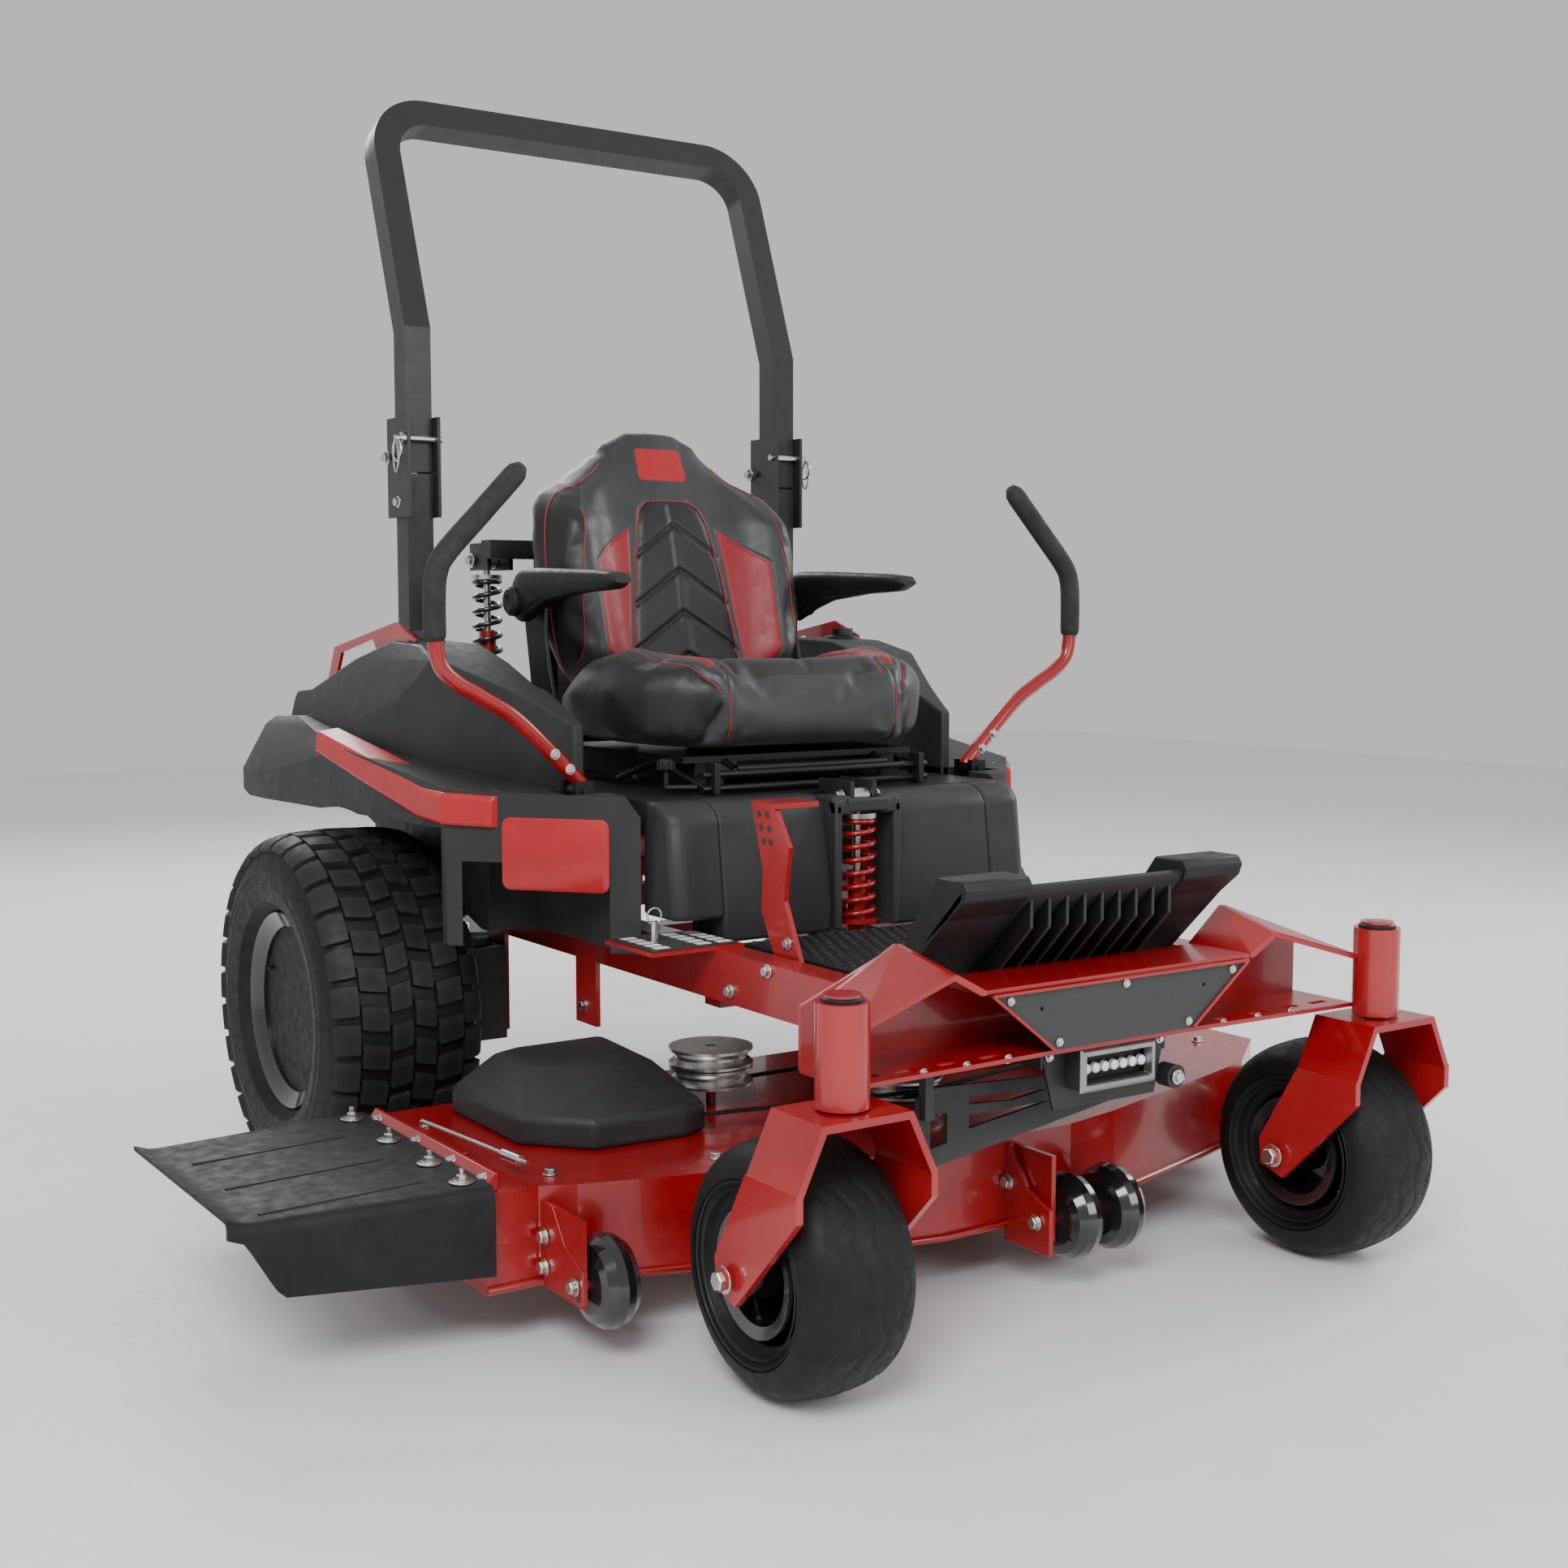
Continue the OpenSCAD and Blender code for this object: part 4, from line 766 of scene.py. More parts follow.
def pod(s):
    """Moulded side pod: low wheel-arch box with the narrow tower, its wells cut, stripe and plain panel."""
    side = name_side(s)
    plan = [(366, -609), (578, -360), (645, 290), (645, 405), (376, 405), (376, -280), (366, -300)]
    profile = [(-609, 455), (-609, 668), (-560, 697), (-400, 700), (300, 790), (405, 785), (405, 650),
               (-250, 455)]
    section = [(355, 455), (355, 800), (560, 800), (600, 770), (645, 690), (645, 640), (600, 600), (578, 455)]
    slot = [(360, -507), (438, -507), (438, -429), (360, -429)]
    arch = Form()
    arch.turn([(0, 0.5), (0, 347), (240, 347), (240, 0.5)], (466, 0, 300), n=96)
    arch.verts = [(s * x, y, z) for x, y, z in arch.verts]
    low = carve(prism_form(plan, 440, 940, "z", s), [
        ("INTERSECT", prism_form(profile, 350, 650, "x", s)),
        ("INTERSECT", prism_form(section, -620, 420, "y", s)),
        ("DIFFERENCE", arch),
        ("DIFFERENCE", prism_form([(466, -347), (700, -347), (700, 420), (466, 420)], 300, 640, "z", s)),
        ("DIFFERENCE", prism_form([(380, -570), (560, -570), (560, -280), (380, -280)], 430, 590, "z", s)),
        ("DIFFERENCE", prism_form([(360, 120), (432, 120), (432, 205), (360, 205)], 430, 1000, "z", s)),
        ("DIFFERENCE", prism_form(slot, 640, 830, "z", s))])
    low_piece = piece(f"pod_{side}", low, "grey_plastic", "frame", bevel=6, segments=3)
    tower_plan = [(366, -470), (371, -470), (392, -405), (420, -330), (470, -228), (520, -130), (540, -80),
                  (553, 60), (560, 380), (540, 405), (376, 405), (376, -280), (366, -300)]
    tower_profile = [(-470, 640), (-470, 783), (-330, 842), (-180, 896), (-70, 925), (60, 930), (180, 896),
                     (330, 838), (400, 832), (405, 640)]
    tower_section = [(350, 600), (350, 960), (478, 960), (490, 926), (508, 900), (562, 778), (570, 600)]
    well = Form()
    well.turn([(0, 0.5), (0, 33), (100, 33), (100, 0.5)], (450, 0, 878), axis="z", n=48)
    well.verts = [(s * x, y, z) for x, y, z in well.verts]
    tower = carve(prism_form(tower_plan, 640, 940, "z", s), [
        ("INTERSECT", prism_form(tower_profile, 350, 650, "x", s)),
        ("INTERSECT", prism_form(tower_section, -620, 420, "y", s)),
        ("DIFFERENCE", well),
        ("DIFFERENCE", prism_form([(360, 120), (432, 120), (432, 205), (360, 205)], 430, 1000, "z", s)),
        ("DIFFERENCE", prism_form(slot, 640, 830, "z", s))])
    piece(f"pod_tower_{side}", tower, "grey_plastic", "frame", bevel=7, segments=4, smooth=36)
    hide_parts(f"fender_{side}")
    # Faceted stripe standing proud of the pod
    stripe = Form()
    rings = []
    for x, y, lo, hi, inner in ((622, 80, 737, 770, 40), (606, -100, 694, 735, 46), (592, -290, 652, 697, 50),
                                (586, -362, 648, 694, 50), (530, -428, 645, 690, 40)):
        ring = [(x, y, lo), (x + 3, y, lo + 5), (x + 1, y, hi - 4), (x - 5, y, hi + 4),
                (x - inner, y, hi + 9),
                (x - inner, y, lo)]
        rings.append([(s * a, b, c) for a, b, c in ring])
    stripe.rings(rings)
    piece(f"pod_stripe_{side}", stripe.mesh("stripe"), "decal", "frame", bevel=1.5, smooth=20)
    # Plain rounded panel on the diagonal face
    a, b = Vector((578, -360)), Vector((366, -609))
    normal = Vector((0.761, -0.648))
    panel = Form()
    outline = []
    for cx, cz, t0 in ((0.80, 648, 0), (0.34, 648, 90), (0.34, 562, 180), (0.80, 562, 270)):
        for k in range(7):
            t = math.radians(t0 + 15 * k)
            outline.append((cx * 327 + 14 * math.cos(t), cz + 14 * math.sin(t)))
    rings = []
    for off, grow in ((0.0, 1.0), (1.6, 1.0), (2.2, 0.985)):
        ring = []
        for u, z in outline:
            uu = 0.57 * 327 + (u - 0.57 * 327) * grow
            q = a + (b - a) * (uu / 327) + normal * off
            ring.append((s * q.x, q.y, 605 + (z - 605) * grow))
        rings.append(ring)
    panel.rings(rings)
    piece(f"pod_panel_{side}", panel.mesh("panel"), "decal", "frame", smooth=40)
    # Fuel cap with its grip ribs
    cap = Form()
    cap.turn([(0, 26), (2, 36), (22, 36), (27, 33), (30, 24), (30, 0.5)], (s * 450, 0, 905), axis="z", n=60)
    for k in range(20):
        t = 2 * math.pi * k / 20
        cap.tube([(s * 450 + 36 * math.cos(t), 36 * math.sin(t), 909),
                  (s * 450 + 36 * math.cos(t), 36 * math.sin(t), 927)], 2.2, 8)
    piece(f"fuel_cap_{side}", cap.mesh("cap"), "black_plastic", "frame", bevel=0.8)


# ---------------------------------------------------------------- deck

def deflector():
    """Rubber chute: flat top, turned-down front with a rounded corner, bolts and washers on its inner edge."""
    form, rings = Form(), []
    steps, reach, fold, thick = 34, 338, 17, 6.5
    for i in range(steps + 1):
        t = i / steps
        x = -760 - reach * t
        z = 231 - 9 * t + 9 * max(0.0, t - 0.93) / 0.07
        front = -910 + 54 * t
        bottom = min(110 + 16 * t + (z - 130) * ease((t - 0.80) / 0.22) ** 0.7, z - 26)
        bend = [(front + fold * (1 - math.sin(a)), z - fold * (1 - math.cos(a))) for a in
                (math.radians(15 * k) for k in range(7))]
        outer = [(-446, z), (-650, z)] + bend + [(front, (z - fold + bottom) / 2), (front + 1, bottom)]
        inner = [(y + thick, q) if q < z - 1 else (y, q - thick) for y, q in reversed(outer)]
        rings.append([(x, y, q) for y, q in outer + inner])
    form.rings(rings)
    for y in (-560, -700, -830):
        form.tube([(-830, y, 226), (-1050, y, 221)], 4.5, 10)
    obj = piece("deflector_rubber", form.mesh("deflector"), "rubber", "deflector", smooth=40)
    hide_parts("deflector")
    bolts = Form()
    for y in (-865, -760, -620, -480):
        bolts.turn([(0, 2), (0, 17), (2, 17), (2.5, 15), (2.5, 2)], (-788, y, 231), axis="z", n=36)
        bolts.bolt((-788, y, 233), (0, 0, 1), 7.5, 7)
        bolts.tube([(-788, y, 238), (-788, y, 250)], 3.6, 12)
    piece("deflector_bolts", bolts.mesh("bolts"), "zinc", "deflector", bevel=0.4)


def belt_cover(s):
    """Faceted moulded cover with softened edges and screws."""
    base = [(345, -470), (352, -775), (395, -795), (545, -785), (625, -695), (625, -470)]
    top = [(372, -500), (384, -670), (400, -690), (515, -680), (568, -615), (568, -500)]
    crown = [(392, -520), (402, -650), (412, -664), (505, -656), (545, -602), (545, -520)]
    form = Form()
    form.rings([[(s * x, y, z) for x, y in outline] for outline, z in
                ((base, 215.2), (base, 257), (top, 306), (crown, 315))])
    side = name_side(s)
    cover = piece(f"belt_cover_{side}", form.mesh("cover"), "grey_plastic", "deck",
                  bevel=8, segments=4, smooth=25)
    screws = Form()
    for x, y in ((372, -640), (420, -744), (596, -560), (560, -710)):
        screws.bolt((s * x, y, 266), (0, -0.4, 1), 6, 6)
    piece(f"belt_cover_screws_{side}", screws.mesh("screws"), "zinc", "deck", bevel=0.4)
    return cover


def deck_trim():
    """Folded edge bars, gauge wheel plates, spring rod, bolts, and dark discs painted as the shade inside the
    height holes.
    """
    red = Form()
    red.prism([(-765, 215), (-748, 240), (-742, 240), (-742, 215)], -880, -470, "y")
    red.block((-742, -700), (-700, -520), (215, 219))
    plate = [(-875, 84), (-1010, 84), (-1010, 128), (-960, 150), (-925, 196), (-875, 196)]
    for s in (LEFT, RIGHT):
        red.prism(plate, *sorted((s * 678, s * 686)), "x")
    red.prism([(-1050, 60), (-1150, 60), (-1150, 128), (-1100, 150), (-1060, 206), (-1050, 206)], -8, 0, "x")
    rim = [(-765, -892), (-688, -892), (-640, -914), (-500, -957), (-230, -1032), (-120, -1054), (120, -1054),
           (230, -1032), (500, -957), (640, -914), (784, -802)]
    red.tube([(x, y, 85) for x, y in rim], 6, 12)
    piece("deck_brackets", red.mesh("red"), "red_paint", "deck", bevel=2)
    steel = Form()
    for y in (-860, -760, -640, -500):
        steel.bolt((-754, y, 228), (-1, 0, 0.4), 7, 7)
    for s in (LEFT, RIGHT):
        for y, z in ((-990, 105), (-905, 150), (-905, 108)):
            steel.bolt((s * 687, y, z), (s, 0, 0), 9, 8)
        steel.bolt((s * 604, -990, 105), (-s, 0, 0), 9, 8)
    for y, z in ((-1122, 105), (-1060, 150)):
        steel.bolt((-9, y, z), (-1, 0, 0), 9, 8)
    for x, y in ((-650, -850), (-690, -520), (0, -880), (690, -540), (690, -760), (-420, -910), (420, -910)):
        steel.bolt((x, y, 215.5), (0, 0, 1), 8, 7)
    steel.tube([(-728, -600, 246), (-690, -860, 240)], 3.2, 10)
    steel.tube([(-698, -805, 241), (-692, -845, 240)], 7.5, 16)
    piece("deck_bolts", steel.mesh("steel"), "zinc", "deck", bevel=0.4)
    # Gloss black discs on the gauge plates: painted shade standing in for the height holes.
    dark = Form()
    for s in (LEFT, RIGHT):
        for k in range(4):
            dark.turn([(0, 0.5), (0, 3.6), (1.2, 3.6), (1.2, 0.5)],
                      (s * 687 - 0.6, -998, 90 + 9 * k), n=20)
    piece("deck_height_holes", dark.mesh("holes"), "gloss_black", "deck")


# ---------------------------------------------------------------- platform

def footrest():
    """Floor pan with a knobbed mat, sloped toe lip with ribs behind it, and the two raised wedges."""
    toe = -1248
    form = Form()
    form.prism([(-700, 460), (-1100, 460), (toe, 606), (toe - 4, 616), (toe + 2, 622), (-1096, 472),
                (-700, 472)],
               -255, 255, "x")
    for s in (LEFT, RIGHT):
        wedge = [(-1124, 500), (toe - 6, 606), (toe - 12, 622), (toe - 4, 634), (toe + 52, 634), (-1130, 548)]
        form.rings([[(s * x, y, z) for y, z in wedge] for x in (142, 255)])
    for k in range(-4, 5):
        x = k * 32
        form.rings([[(x - 3, -1110, 466), (x - 3, toe + 6, 606), (x - 3, toe + 6, 560), (x - 3, -1150, 466)],
                    [(x + 3, -1110, 466), (x + 3, toe + 6, 606), (x + 3, toe + 6, 560), (x + 3, -1150, 466)]])
    obj = piece("foot_pan", form.mesh("pan"), "black_plastic", "platform", bevel=4,
                segments=3)
    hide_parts("footrest")
    mat = Form()
    mat.block((-246, 246), (-1086, -706), (472, 475.5))
    for i in range(-11, 12):
        for j in range(17):
            x, y = i * 20.5 + (5 if j % 2 else -5), -1072 + j * 22
            if abs(x) < 236:
                mat.rings([[(x - 7, y, 475), (x, y - 7, 475), (x + 7, y, 475), (x, y + 7, 475)],
                           [(x - 4.5, y, 479), (x, y - 4.5, 479), (x + 4.5, y, 479), (x, y + 4.5, 479)]])
    piece("floor_mat", mat.mesh("mat"), "rubber", "platform", bevel=0.8, segments=2)


def platform_cover():
    """Two moulded panels, the raised rim round the shock recess, a channel and small screws."""
    form = Form()
    for s in (LEFT, RIGHT):
        face = [(-602, 513), (-689, 513), (-691, 524), (-674, 662), (-664, 676), (-640, 690), (-602, 690)]
        low = [(-602, 474), (-688, 474), (-691, 520), (-674, 662), (-664, 676), (-640, 690), (-602, 690)]
        form.rings([[(s * x, y, z) for y, z in (low if x < 266 else face)] for x in (60, 200, 265)])
        form.rings([[(s * x, y + d, z) for y, z in face] for x, d in ((265.5, 0), (330, 2), (349, 16))])
    obj = piece("cover_panels", form.mesh("cover"), "grey_plastic", "platform", bevel=6,
                segments=3)
    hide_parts("platform_cover")
    rim = Form()
    for s in (LEFT, RIGHT):
        rim.block(sorted((s * 51, s * 65)), (-702, -640), (478, 684))
        rim.prism([(-640, 690), (-690, 690), (-702, 678), (-702, 660), (-688, 660), (-680, 676), (-640, 676)],
                  *sorted((s * 27, s * 65)), "x")
    rim.block((-40, 40), (-704, -691), (664, 686))
    piece("cover_rim", rim.mesh("rim"), "grey_plastic", "platform", bevel=4, segments=3)
    screws = Form()
    for s in (LEFT, RIGHT):
        for x, z in ((90, 655), (90, 520), (325, 640), (325, 530)):
            screws.turn([(0, 0.5), (0, 6), (-2.2, 5), (-3, 0.5)], (s * x, -684 + (z - 520) * 0.12, z),
                        axis="y", n=20)
    piece("cover_screws", screws.mesh("screws"), "black_paint", "platform")


def seat_mechanism():
    """Adjuster knob, cross rods, bent side rods, brackets and bolt heads under the seat."""
    form = Form()
    for z, y in ((700, -560), (722, -560)):
        form.tube([(-225, y, z), (225, y, z)], 6, 12)
    for s in (LEFT, RIGHT):
        form.tube([(s * 215, -560, 698), (s * 232, -430, 738), (s * 232, -300, 700)], 6, 10)
        form.block((s * 205 - 5, s * 205 + 5), (-575, -545), (691, 742))
    piece("seat_linkage", form.mesh("linkage"), "black_paint", "platform", bevel=1.2)
    knob = Form()
    knob.turn([(0, 0.5), (0, 9), (4, 13), (16, 14), (20, 11), (21, 0.5)], (-268, -520, 728), axis="z", n=32)
    for k in range(9):
        a = 2 * math.pi * k / 9
        knob.tube([(-268 + 13 * math.cos(a), -520 + 13 * math.sin(a), 731),
                   (-268 + 13 * math.cos(a), -520 + 13 * math.sin(a), 743)], 2.4, 8)
    knob.tube([(-268, -520, 700), (-268, -520, 730)], 4, 10)
    knob.tube([(-225, -545, 702), (-268, -520, 702)], 5, 10)
    piece("seat_knob", knob.mesh("knob"), "black_plastic", "platform", bevel=0.6)
    bolts = Form()
    for s in (LEFT, RIGHT):
        for y in (-500, -300, -110):
            bolts.bolt((s * 197, y, 702), (s, 0, 0), 6, 5)
        for q in (-1, 1):
            bolts.bolt((s * 255 + q * 31, 158, 1076), (q, 0, 0), 10, 8)
    for q in (-1, 1):
        bolts.bolt((q * 33, -669, 686), (q, 0, 0), 10, 8)
    piece("platform_bolts", bolts.mesh("bolts"), "zinc", "platform", bevel=0.4)


def armrest(s):
    """Moulded arm: soft crowned pad, deep rear end with its pivot boss."""
    side = name_side(s)
    tops = [(-428, 1036), (-415, 1045), (-360, 1050), (-200, 1056), (-100, 1058), (-66, 1050), (-48, 1024)]
    lows = [(-428, 1028), (-400, 1018), (-300, 1014), (-180, 1002), (-120, 984), (-70, 962), (-48, 972)]
    widths = [(-428, 15), (-412, 22), (-360, 26), (-200, 27), (-90, 25), (-48, 17)]
    form, rings = Form(), []
    for k in range(31):
        y = -428 + 380 * k / 30
        hi, lo, w = lerp_table(tops, y), lerp_table(lows, y), lerp_table(widths, y)
        ring = []
        for i in range(28):
            a = 2 * math.pi * i / 28
            c, d = math.cos(a), math.sin(a)
            px = math.copysign(abs(c) ** 0.45, c) * w * (1.0 if d > -0.2 else 0.82)
            pz = (hi + lo) / 2 + math.copysign(abs(d) ** 0.55, d) * (hi - lo) / 2
            ring.append((s * (291 + px), y, pz))
        rings.append(ring)
    form.rings(rings)
    obj = piece(f"arm_pad_{side}", form.mesh("arm"), "black_plastic", f"armrest_{side}",
                smooth=50)
    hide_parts(f"armrest_{side}")
    boss = Form()
    boss.turn([(s * 322, 0.5), (s * 322, 9), (s * 325, 12), (s * 325, 20), (s * 320, 26), (s * 304, 27),
               (s * 304, 0.5)],
              (0, -72, 1000), n=48)
    piece(f"arm_boss_{side}", boss.mesh("boss"), "black_plastic", f"armrest_{side}",
          bevel=0.6)
    bracket = Form()
    bracket.prism([(-108, 1012), (-40, 1016), (-30, 960), (-46, 880), (-60, 800), (-150, 800), (-120, 880),
                   (-104, 940)],
                  s * 262, s * 271, "x")
    piece(f"arm_bracket_{side}", bracket.mesh("bracket"), "black_paint", "seat", bevel=2)


def spring(name, node, mat, spots, radius, low, high):
    """Round-wire coil with closed ends, stretching between the frame and the platform."""
    form, wire, turns, steps = Form(), 4.6, 8, 20
    for x, y in spots:
        points = []
        for k in range(turns * steps + 1):
            t = k / (turns * steps)
            rise = min(1.0, max(0.0, (t - 0.06) / 0.88))
            a = 2 * math.pi * k / steps
            points.append((x + radius * math.cos(a), y + radius * math.sin(a),
                           low + wire + (high - low - 2 * wire) * rise))
        form.tube(points, wire, 10)
    obj = piece(name, form.mesh(name), mat, None, smooth=60)
    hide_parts(node)
    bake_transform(obj)


def springs():
    spring("front_coil", "front_spring", "red_paint", [(0, -669)], 27, 490.5, 651.5)
    spring("rear_coils", "rear_springs", "gloss_black", [(255, 158), (-255, 158)], 25, 838.5,
           1041.5)


# ---------------------------------------------------------------- controls

LEVER_Y = -467


def lever(s):
    """Bent red tube with its bolted foot, and the foam grip with a soft rounded end."""
    side = name_side(s)
    pts = smooth_path([(390, LEVER_Y, 706), (404, LEVER_Y, 722), (500, LEVER_Y, 812), (560, LEVER_Y, 850),
                       (600, LEVER_Y, 872), (628, LEVER_Y, 898), (637, LEVER_Y, 935), (638, LEVER_Y, 980)], 8)
    form = Form()
    form.tube(flip(pts, s), 12.4, 24)
    obj = piece(f"lever_tube_{side}", form.mesh("lever"), "red_paint", f"lever_{side}",
                smooth=60)
    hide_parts(f"lever_{side}")
    grip = smooth_path([(638, LEVER_Y, 934), (638, LEVER_Y, 1000), (634, LEVER_Y, 1040), (618, LEVER_Y, 1070),
                        (560, LEVER_Y, 1131), (490, LEVER_Y, 1204)], 9)

    def ends(t):
        d = min(t, 1 - t) * len(grip) / 2.2
        return 0.55 + 0.45 * math.sqrt(max(0.0, min(1.0, d)) * (2 - max(0.0, min(1.0, d))))
    form = Form()
    form.tube(flip(grip, s), 17.5, 28, taper=ends)
    obj = piece(f"grip_foam_{side}", form.mesh("grip"), "foam", f"lever_{side}", smooth=60)
    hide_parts(f"grip_{side}")
    foot = Form()
    foot.turn([(-14, 0.5), (-14, 13.6), (14, 13.6), (14, 0.5)], (s * 400, LEVER_Y, 700), axis="y", n=36)
    piece(f"lever_foot_{side}", foot.mesh("foot"), "black_paint", f"lever_{side}", bevel=1)
    bolts = Form()
    for x, z in ((418, 735), (444, 760)):
        bolts.bolt((s * x, LEVER_Y - 12, z), (0, -1, 0), 6.5, 6)
        bolts.bolt((s * x, LEVER_Y + 12, z), (0, 1, 0), 6.5, 6)
    piece(f"lever_bolts_{side}", bolts.mesh("bolts"), "zinc", f"lever_{side}", bevel=0.4)


# ---------------------------------------------------------------- frame trim

def front_trim():
    """Lamp lenses, chrome bezel, panel screws, beam bolts and post caps."""
    y = -1250
    chrome = Form()
    chrome.rings([[(-70, y - 26, 334), (70, y - 26, 334), (70, y - 26, 394), (-70, y - 26, 394)],
                  [(-66, y - 30, 338), (66, y - 30, 338), (66, y - 30, 390), (-66, y - 30, 390)],
                  [(-61, y - 30, 344), (61, y - 30, 344), (61, y - 30, 384), (-61, y - 30, 384)],
                  [(-58, y - 16, 347), (58, y - 16, 347), (58, y - 16, 381), (-58, y - 16, 381)]], caps=False)
    piece("lamp_bezel", chrome.mesh("bezel"), "satin_steel", "frame", bevel=0.8)
    lens = Form()
    for i in range(-3, 4):
        lens.turn([(-22, 0.5), (-21.5, 4), (-20, 6.5), (-17, 7.6), (-14, 7.8), (-14, 0.5)], (i * 17, y, 364),
                  axis="y", n=24)
    piece("lamp_lenses", lens.mesh("lens"), "lens", "frame")
    dark = Form()
    for s in (LEFT, RIGHT):
        dark.turn([(515, 0.5), (515, 27), (519, 27), (522, 23), (523, 0.5)], (s * 489, -1310, 0), axis="z",
                  n=48)
    piece("post_caps", dark.mesh("caps"), "black_plastic", "frame", bevel=0.6)
    screws = Form()
    for x, z in ((-205, 478), (205, 478), (-120, 414), (120, 414), (0, 480)):
        screws.bolt((x, -1289, z), (0, -1, 0), 4.5, 3)
    for s in (LEFT, RIGHT):
        screws.bolt((s * 103, -1250, 384), (0, -1, 0), 5, 4)
        for k in range(3):
            screws.bolt((s * (200 + 70 * k), -1278, 400), (0, -1, -0.2), 5, 4)
    screws.bolt((122, -1268, 330), (0, -1, 0), 8, 6)
    for s in (LEFT, RIGHT):
        for y2, z2 in ((-380, 462), (-360, 330), (-900, 470), (-800, 425), (-560, 470), (60, 560),
                       (180, 540)):
            screws.bolt((s * (333 if z2 < 350 else 325.5 if y2 < 0 else 372.5), y2, z2), (s, 0, 0), 8, 7)
    piece("frame_bolts", screws.mesh("screws"), "zinc", "frame", bevel=0.4)
    # Edge bands of the centre panel
    band = Form()
    for a, b in (((-236, 488), (-128, 404)), ((236, 488), (128, 404)), ((-236, 488), (236, 488))):
        band.tube([(a[0], -1291, a[1]), (b[0], -1291, b[1])], 2.4, 8)
    piece("panel_edging", band.mesh("band"), "red_paint", "frame")


def caster_bolts(s):
    side = name_side(s)
    form = Form()
    for q in (-1, 1):
        form.bolt((s * 489 + q * 113, -1219, 165), (q, 0, 0), 13, 11)
    piece(f"caster_bolts_{side}", form.mesh("bolts"), "zinc", f"caster_{side}", bevel=0.5)


def height_plate():
    """White squares on a dark height plate with its pin and pull ring."""
    dark = Form()
    dark.block((-430, -282), (-755, -623), (486, 488))
    piece("height_plate_face", dark.mesh("plate"), "black_plastic", "frame", bevel=0.6)
    cells = Form()
    for i in range(5):
        for j in range(4):
            x, y = -418 + j * 36, -744 + i * 24
            if j != 1:
                cells.block((x, x + 24), (y, y + 15), (488, 488.6))
    piece("height_plate_cells", cells.mesh("cells"), "decal_white", "frame")
    pin = Form()
    pin.tube([(-390, -690, 486), (-390, -690, 520)], 5, 16)
    pin.tube([(-390 + 12 * math.cos(a), -690, 528 + 12 * math.sin(a)) for a in
              (2 * math.pi * k / 24 for k in range(25))], 1.6, 8)
    piece("height_pin", pin.mesh("pin"), "zinc", "frame")


def pedal_pad():
    """Dark discs painted as the shade inside the lift pedal's grip holes, and its pivot bolts."""
    # Gloss black discs: painted shade standing in for the grip holes.
    holes = Form()
    for y, z in ((-812, 684), (-790, 684), (-818, 664), (-796, 664), (-822, 644), (-804, 644)):
        holes.turn([(-0.6, 0.5), (-0.6, 5), (-9.4, 5), (-9.4, 0.5)], (-259.8, y, z), n=20)
    piece("pedal_holes", holes.mesh("holes"), "gloss_black", "lift_pedal")
    bolt = Form()
    bolt.bolt((-268.5, -878, 441), (-1, 0, 0), 10, 8)
    bolt.bolt((-268.5, -868, 500), (-1, 0, 0), 7, 6)
    piece("pedal_bolts", bolt.mesh("bolts"), "zinc", "lift_pedal", bevel=0.4)


def hinge_trim():
    """Bolts, clips and lock rings of the roll bar hinge."""
    steel = Form()
    for s in (LEFT, RIGHT):
        for q in (365, 429):
            steel.bolt((s * (q - 3 if q < 400 else q), 205, 1262), (-s if q < 400 else s, 0, 0), 10, 8)
            steel.bolt((s * (q - 3 if q < 400 else q), 158, 1180), (-s if q < 400 else s, 0, 0), 8, 7)
    piece("hinge_bolts", steel.mesh("bolts"), "zinc", "frame", bevel=0.5)
    for s in (LEFT, RIGHT):
        clip = Form()
        loop = [(s * 446, 124 + 11 * math.cos(a), 1258 + 26 * math.sin(a)) for a in
                (2 * math.pi * k / 28 for k in range(29))]
        clip.tube(loop, 2.0, 8)
        piece(f"lock_clip_{name_side(s)}", clip.mesh("clip"), "zinc", f"rops_pin_{name_side(s)}")


def engine_trim():
    """Fins, hoses, filter canister, screen and bolts at the rear."""
    fins = Form()
    for k in range(16):
        r = 150 - k * 7
        fins.turn([(762.5, r - 2), (766, r), (762.5, r + 2)], (0, 400, 0), axis="z", n=72, close=True)
    for k in range(12):
        a = 2 * math.pi * k / 12
        fins.tube([(50 * math.cos(a), 400 + 50 * math.sin(a), 764),
                   (118 * math.cos(a), 400 + 118 * math.sin(a), 764)],
                  2.5, 8)
    piece("engine_screen", fins.mesh("screen"), "black_plastic", "frame")
    filt = Form()
    filt.turn([(-95, 0.5), (-95, 44), (-90, 48), (80, 48), (86, 44), (90, 30), (90, 0.5)], (0, 520, 690),
              n=48)
    for x in (-60, 40):
        filt.turn([(x, 49), (x + 2, 51), (x + 10, 51), (x + 12, 49)], (0, 520, 690), n=48, close=True)
    piece("engine_filter", filt.mesh("filter"), "black_plastic", "frame", bevel=1)
    hose = Form()
    hose.tube(smooth_path([(-60, 480, 700), (-110, 440, 720), (-120, 360, 700), (-110, 300, 640)], 8), 11, 14)
    hose.tube(smooth_path([(100, 300, 600), (150, 330, 560), (180, 400, 540), (170, 480, 520)], 8), 7, 12)
    piece("engine_hoses", hose.mesh("hoses"), "rubber", "frame")
    steel = Form()
    for k in range(8):
        a = math.radians(22 + 45 * k)
        steel.bolt((148 * math.cos(a), 400 + 148 * math.sin(a), 744), (0, 0, 1), 6, 6)
        steel.bolt((142 * math.cos(a), 400 + 142 * math.sin(a), 488.5), (0, 0, 1), 8, 7)
    for x in (-140, 150):
        for z in (520, 620):
            steel.bolt((x, 724, z), (0, 1, 0), 6, 5)
    piece("engine_bolts", steel.mesh("bolts"), "zinc", "frame", bevel=0.4)


# ---------------------------------------------------------------- stage

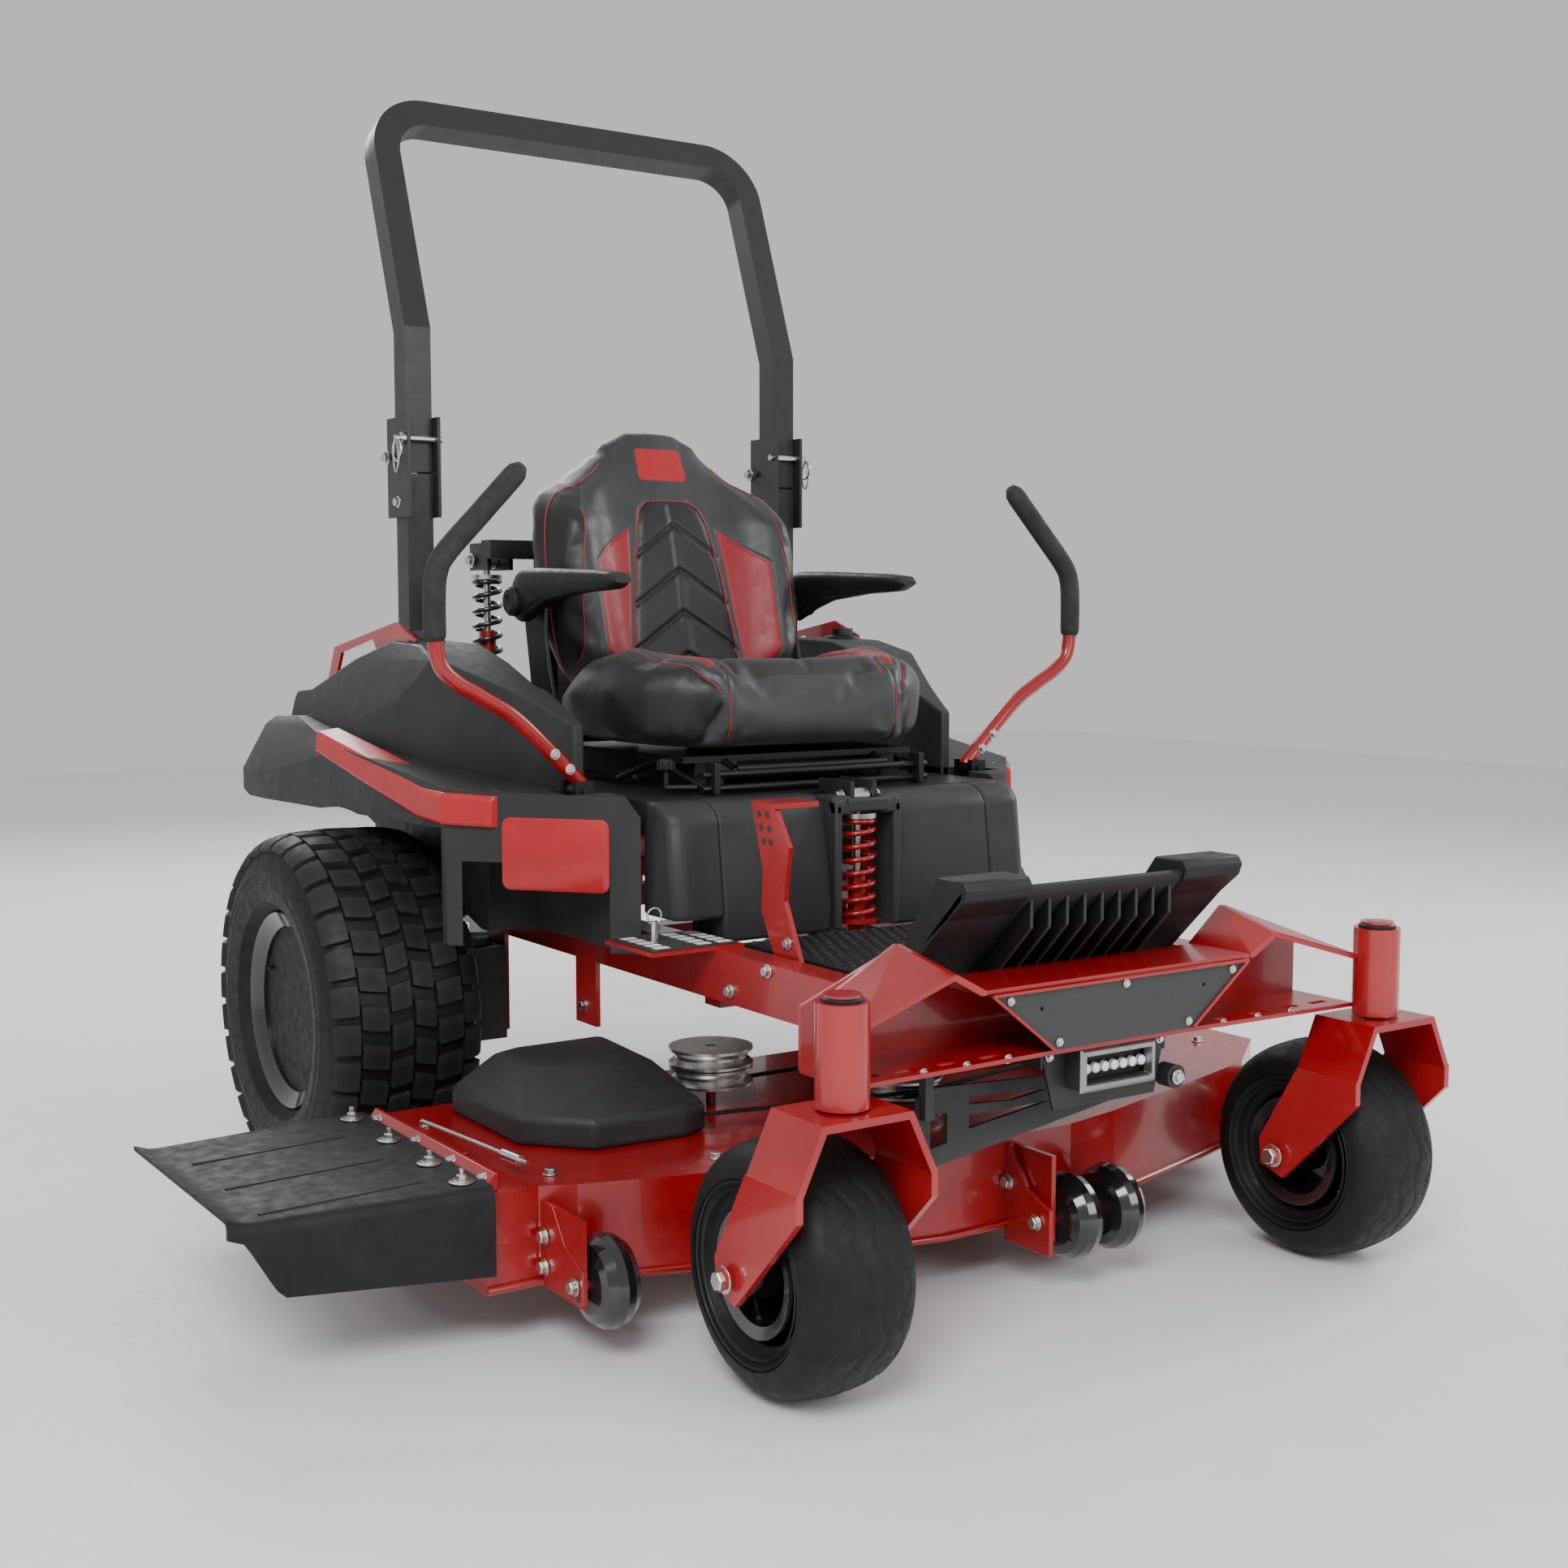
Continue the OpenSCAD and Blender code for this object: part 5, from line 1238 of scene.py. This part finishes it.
def studio():
    floor = Form()
    floor.block((-9000, 9000), (-9000, 9000), (-20, -0.5))
    mesh = floor.mesh("floor")
    obj = bpy.data.objects.new("floor", mesh)
    bpy.context.scene.collection.objects.link(obj)
    mesh.materials.append(finish("floor", (0.86, 0.86, 0.86), 0.6, grain=60, relief=0.0, speck=0.01))
    world = bpy.data.worlds.new("studio")
    bpy.context.scene.world = world
    world.use_nodes = True
    back = world.node_tree.nodes["Background"]
    back.inputs["Color"].default_value = (1, 1, 1, 1)
    back.inputs["Strength"].default_value = 0.66
    for name, place, target, size, power in (
            ("key", (-3.2, -3.6, 4.2), (0.1, -0.2, 0.6), 2.6, 230),
            ("front", (1.2, -5.2, 2.2), (0.2, -0.8, 0.5), 2.2, 70),
            ("right", (4.6, -0.6, 2.8), (0.2, 0.0, 0.7), 2.4, 90),
            ("back", (0.4, 4.4, 3.4), (0.1, 0.3, 0.8), 2.6, 120)):
        lamp = bpy.data.lights.new(name, "AREA")
        lamp.shape = "DISK"
        lamp.size = size
        lamp.energy = power
        holder = bpy.data.objects.new(name, lamp)
        holder.location = place
        holder.rotation_euler = (Vector(target) - Vector(place)).to_track_quat("-Z", "Y").to_euler()
        bpy.context.scene.collection.objects.link(holder)


def camera():
    cam = bpy.data.cameras.new("camera")
    cam.sensor_width = 36
    cam.lens = 44.555
    cam.clip_start = 0.05
    holder = bpy.data.objects.new("camera", cam)
    holder.location = (-1.6796, -2.8526, 0.9831)
    holder.rotation_euler = (math.radians(90 - 5.1), 0, math.radians(-34.0))
    bpy.context.scene.collection.objects.link(holder)
    bpy.context.scene.camera = holder


CAD_FINISH = {
    "red_paint": ["frame_weldment", "front_beam", "handle_plates", "caster_fork_left", "caster_fork_right",
                  "front_spring", "lever_left", "lever_right", "deck_shell", "lift_pedal", "height_gauge",
                  "shock_bodies"],
    "black_paint": ["rops_posts", "rops_hoop", "light_bracket", "rear_guard", "platform_deck", "seat_rails",
                    "seat_base", "rear_springs", "lever_hub_left", "lever_hub_right"],
    "grey_plastic": ["front_panel", "sway_arm", "fender_left", "fender_right", "platform_cover"],
    "black_plastic": ["light_bar", "fuel_tanks", "footrest", "belt_covers", "engine_cover", "armrest_left",
                      "armrest_right"],
    "casting": ["engine", "transaxles"],
    "gloss_black": ["caster_rim_left", "caster_rim_right", "rear_rim_left", "rear_rim_right",
                    "gauge_wheels_centre", "gauge_wheel_left", "gauge_wheel_right"],
    "zinc": ["rops_pin_left", "rops_pin_right", "shock_rods", "idler_pulley", "spindle_left",
             "spindle_centre", "spindle_right"],
    "rubber": ["deck_belt", "deflector", "grip_left", "grip_right"],
    "upholstery": ["seat_cushion", "seat_back"],
    "tyre": ["rear_tyre_left", "rear_tyre_right", "caster_tyre_left", "caster_tyre_right"],
}


def dress_cad():
    """One finish for each carried-over CAD node."""
    for finish_name, names in CAD_FINISH.items():
        for name in names:
            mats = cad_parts[name].data.materials
            if not mats:
                mats.append(M[finish_name])
            for i in range(len(mats)):
                mats[i] = M[finish_name]


studio()
camera()
dress_cad()
for s in (LEFT, RIGHT):
    rear_tyre(s)
    caster_tyre(s)
    wheel_trim(s)
    pod(s)
    armrest(s)
    lever(s)
    caster_bolts(s)
covers = [belt_cover(s) for s in (LEFT, RIGHT)]
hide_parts("belt_covers")
deflector()
deck_trim()
footrest()
platform_cover()
seat_mechanism()
springs()
front_trim()
height_plate()
pedal_pad()
hinge_trim()
engine_trim()
seat_back()
seat_cushion()
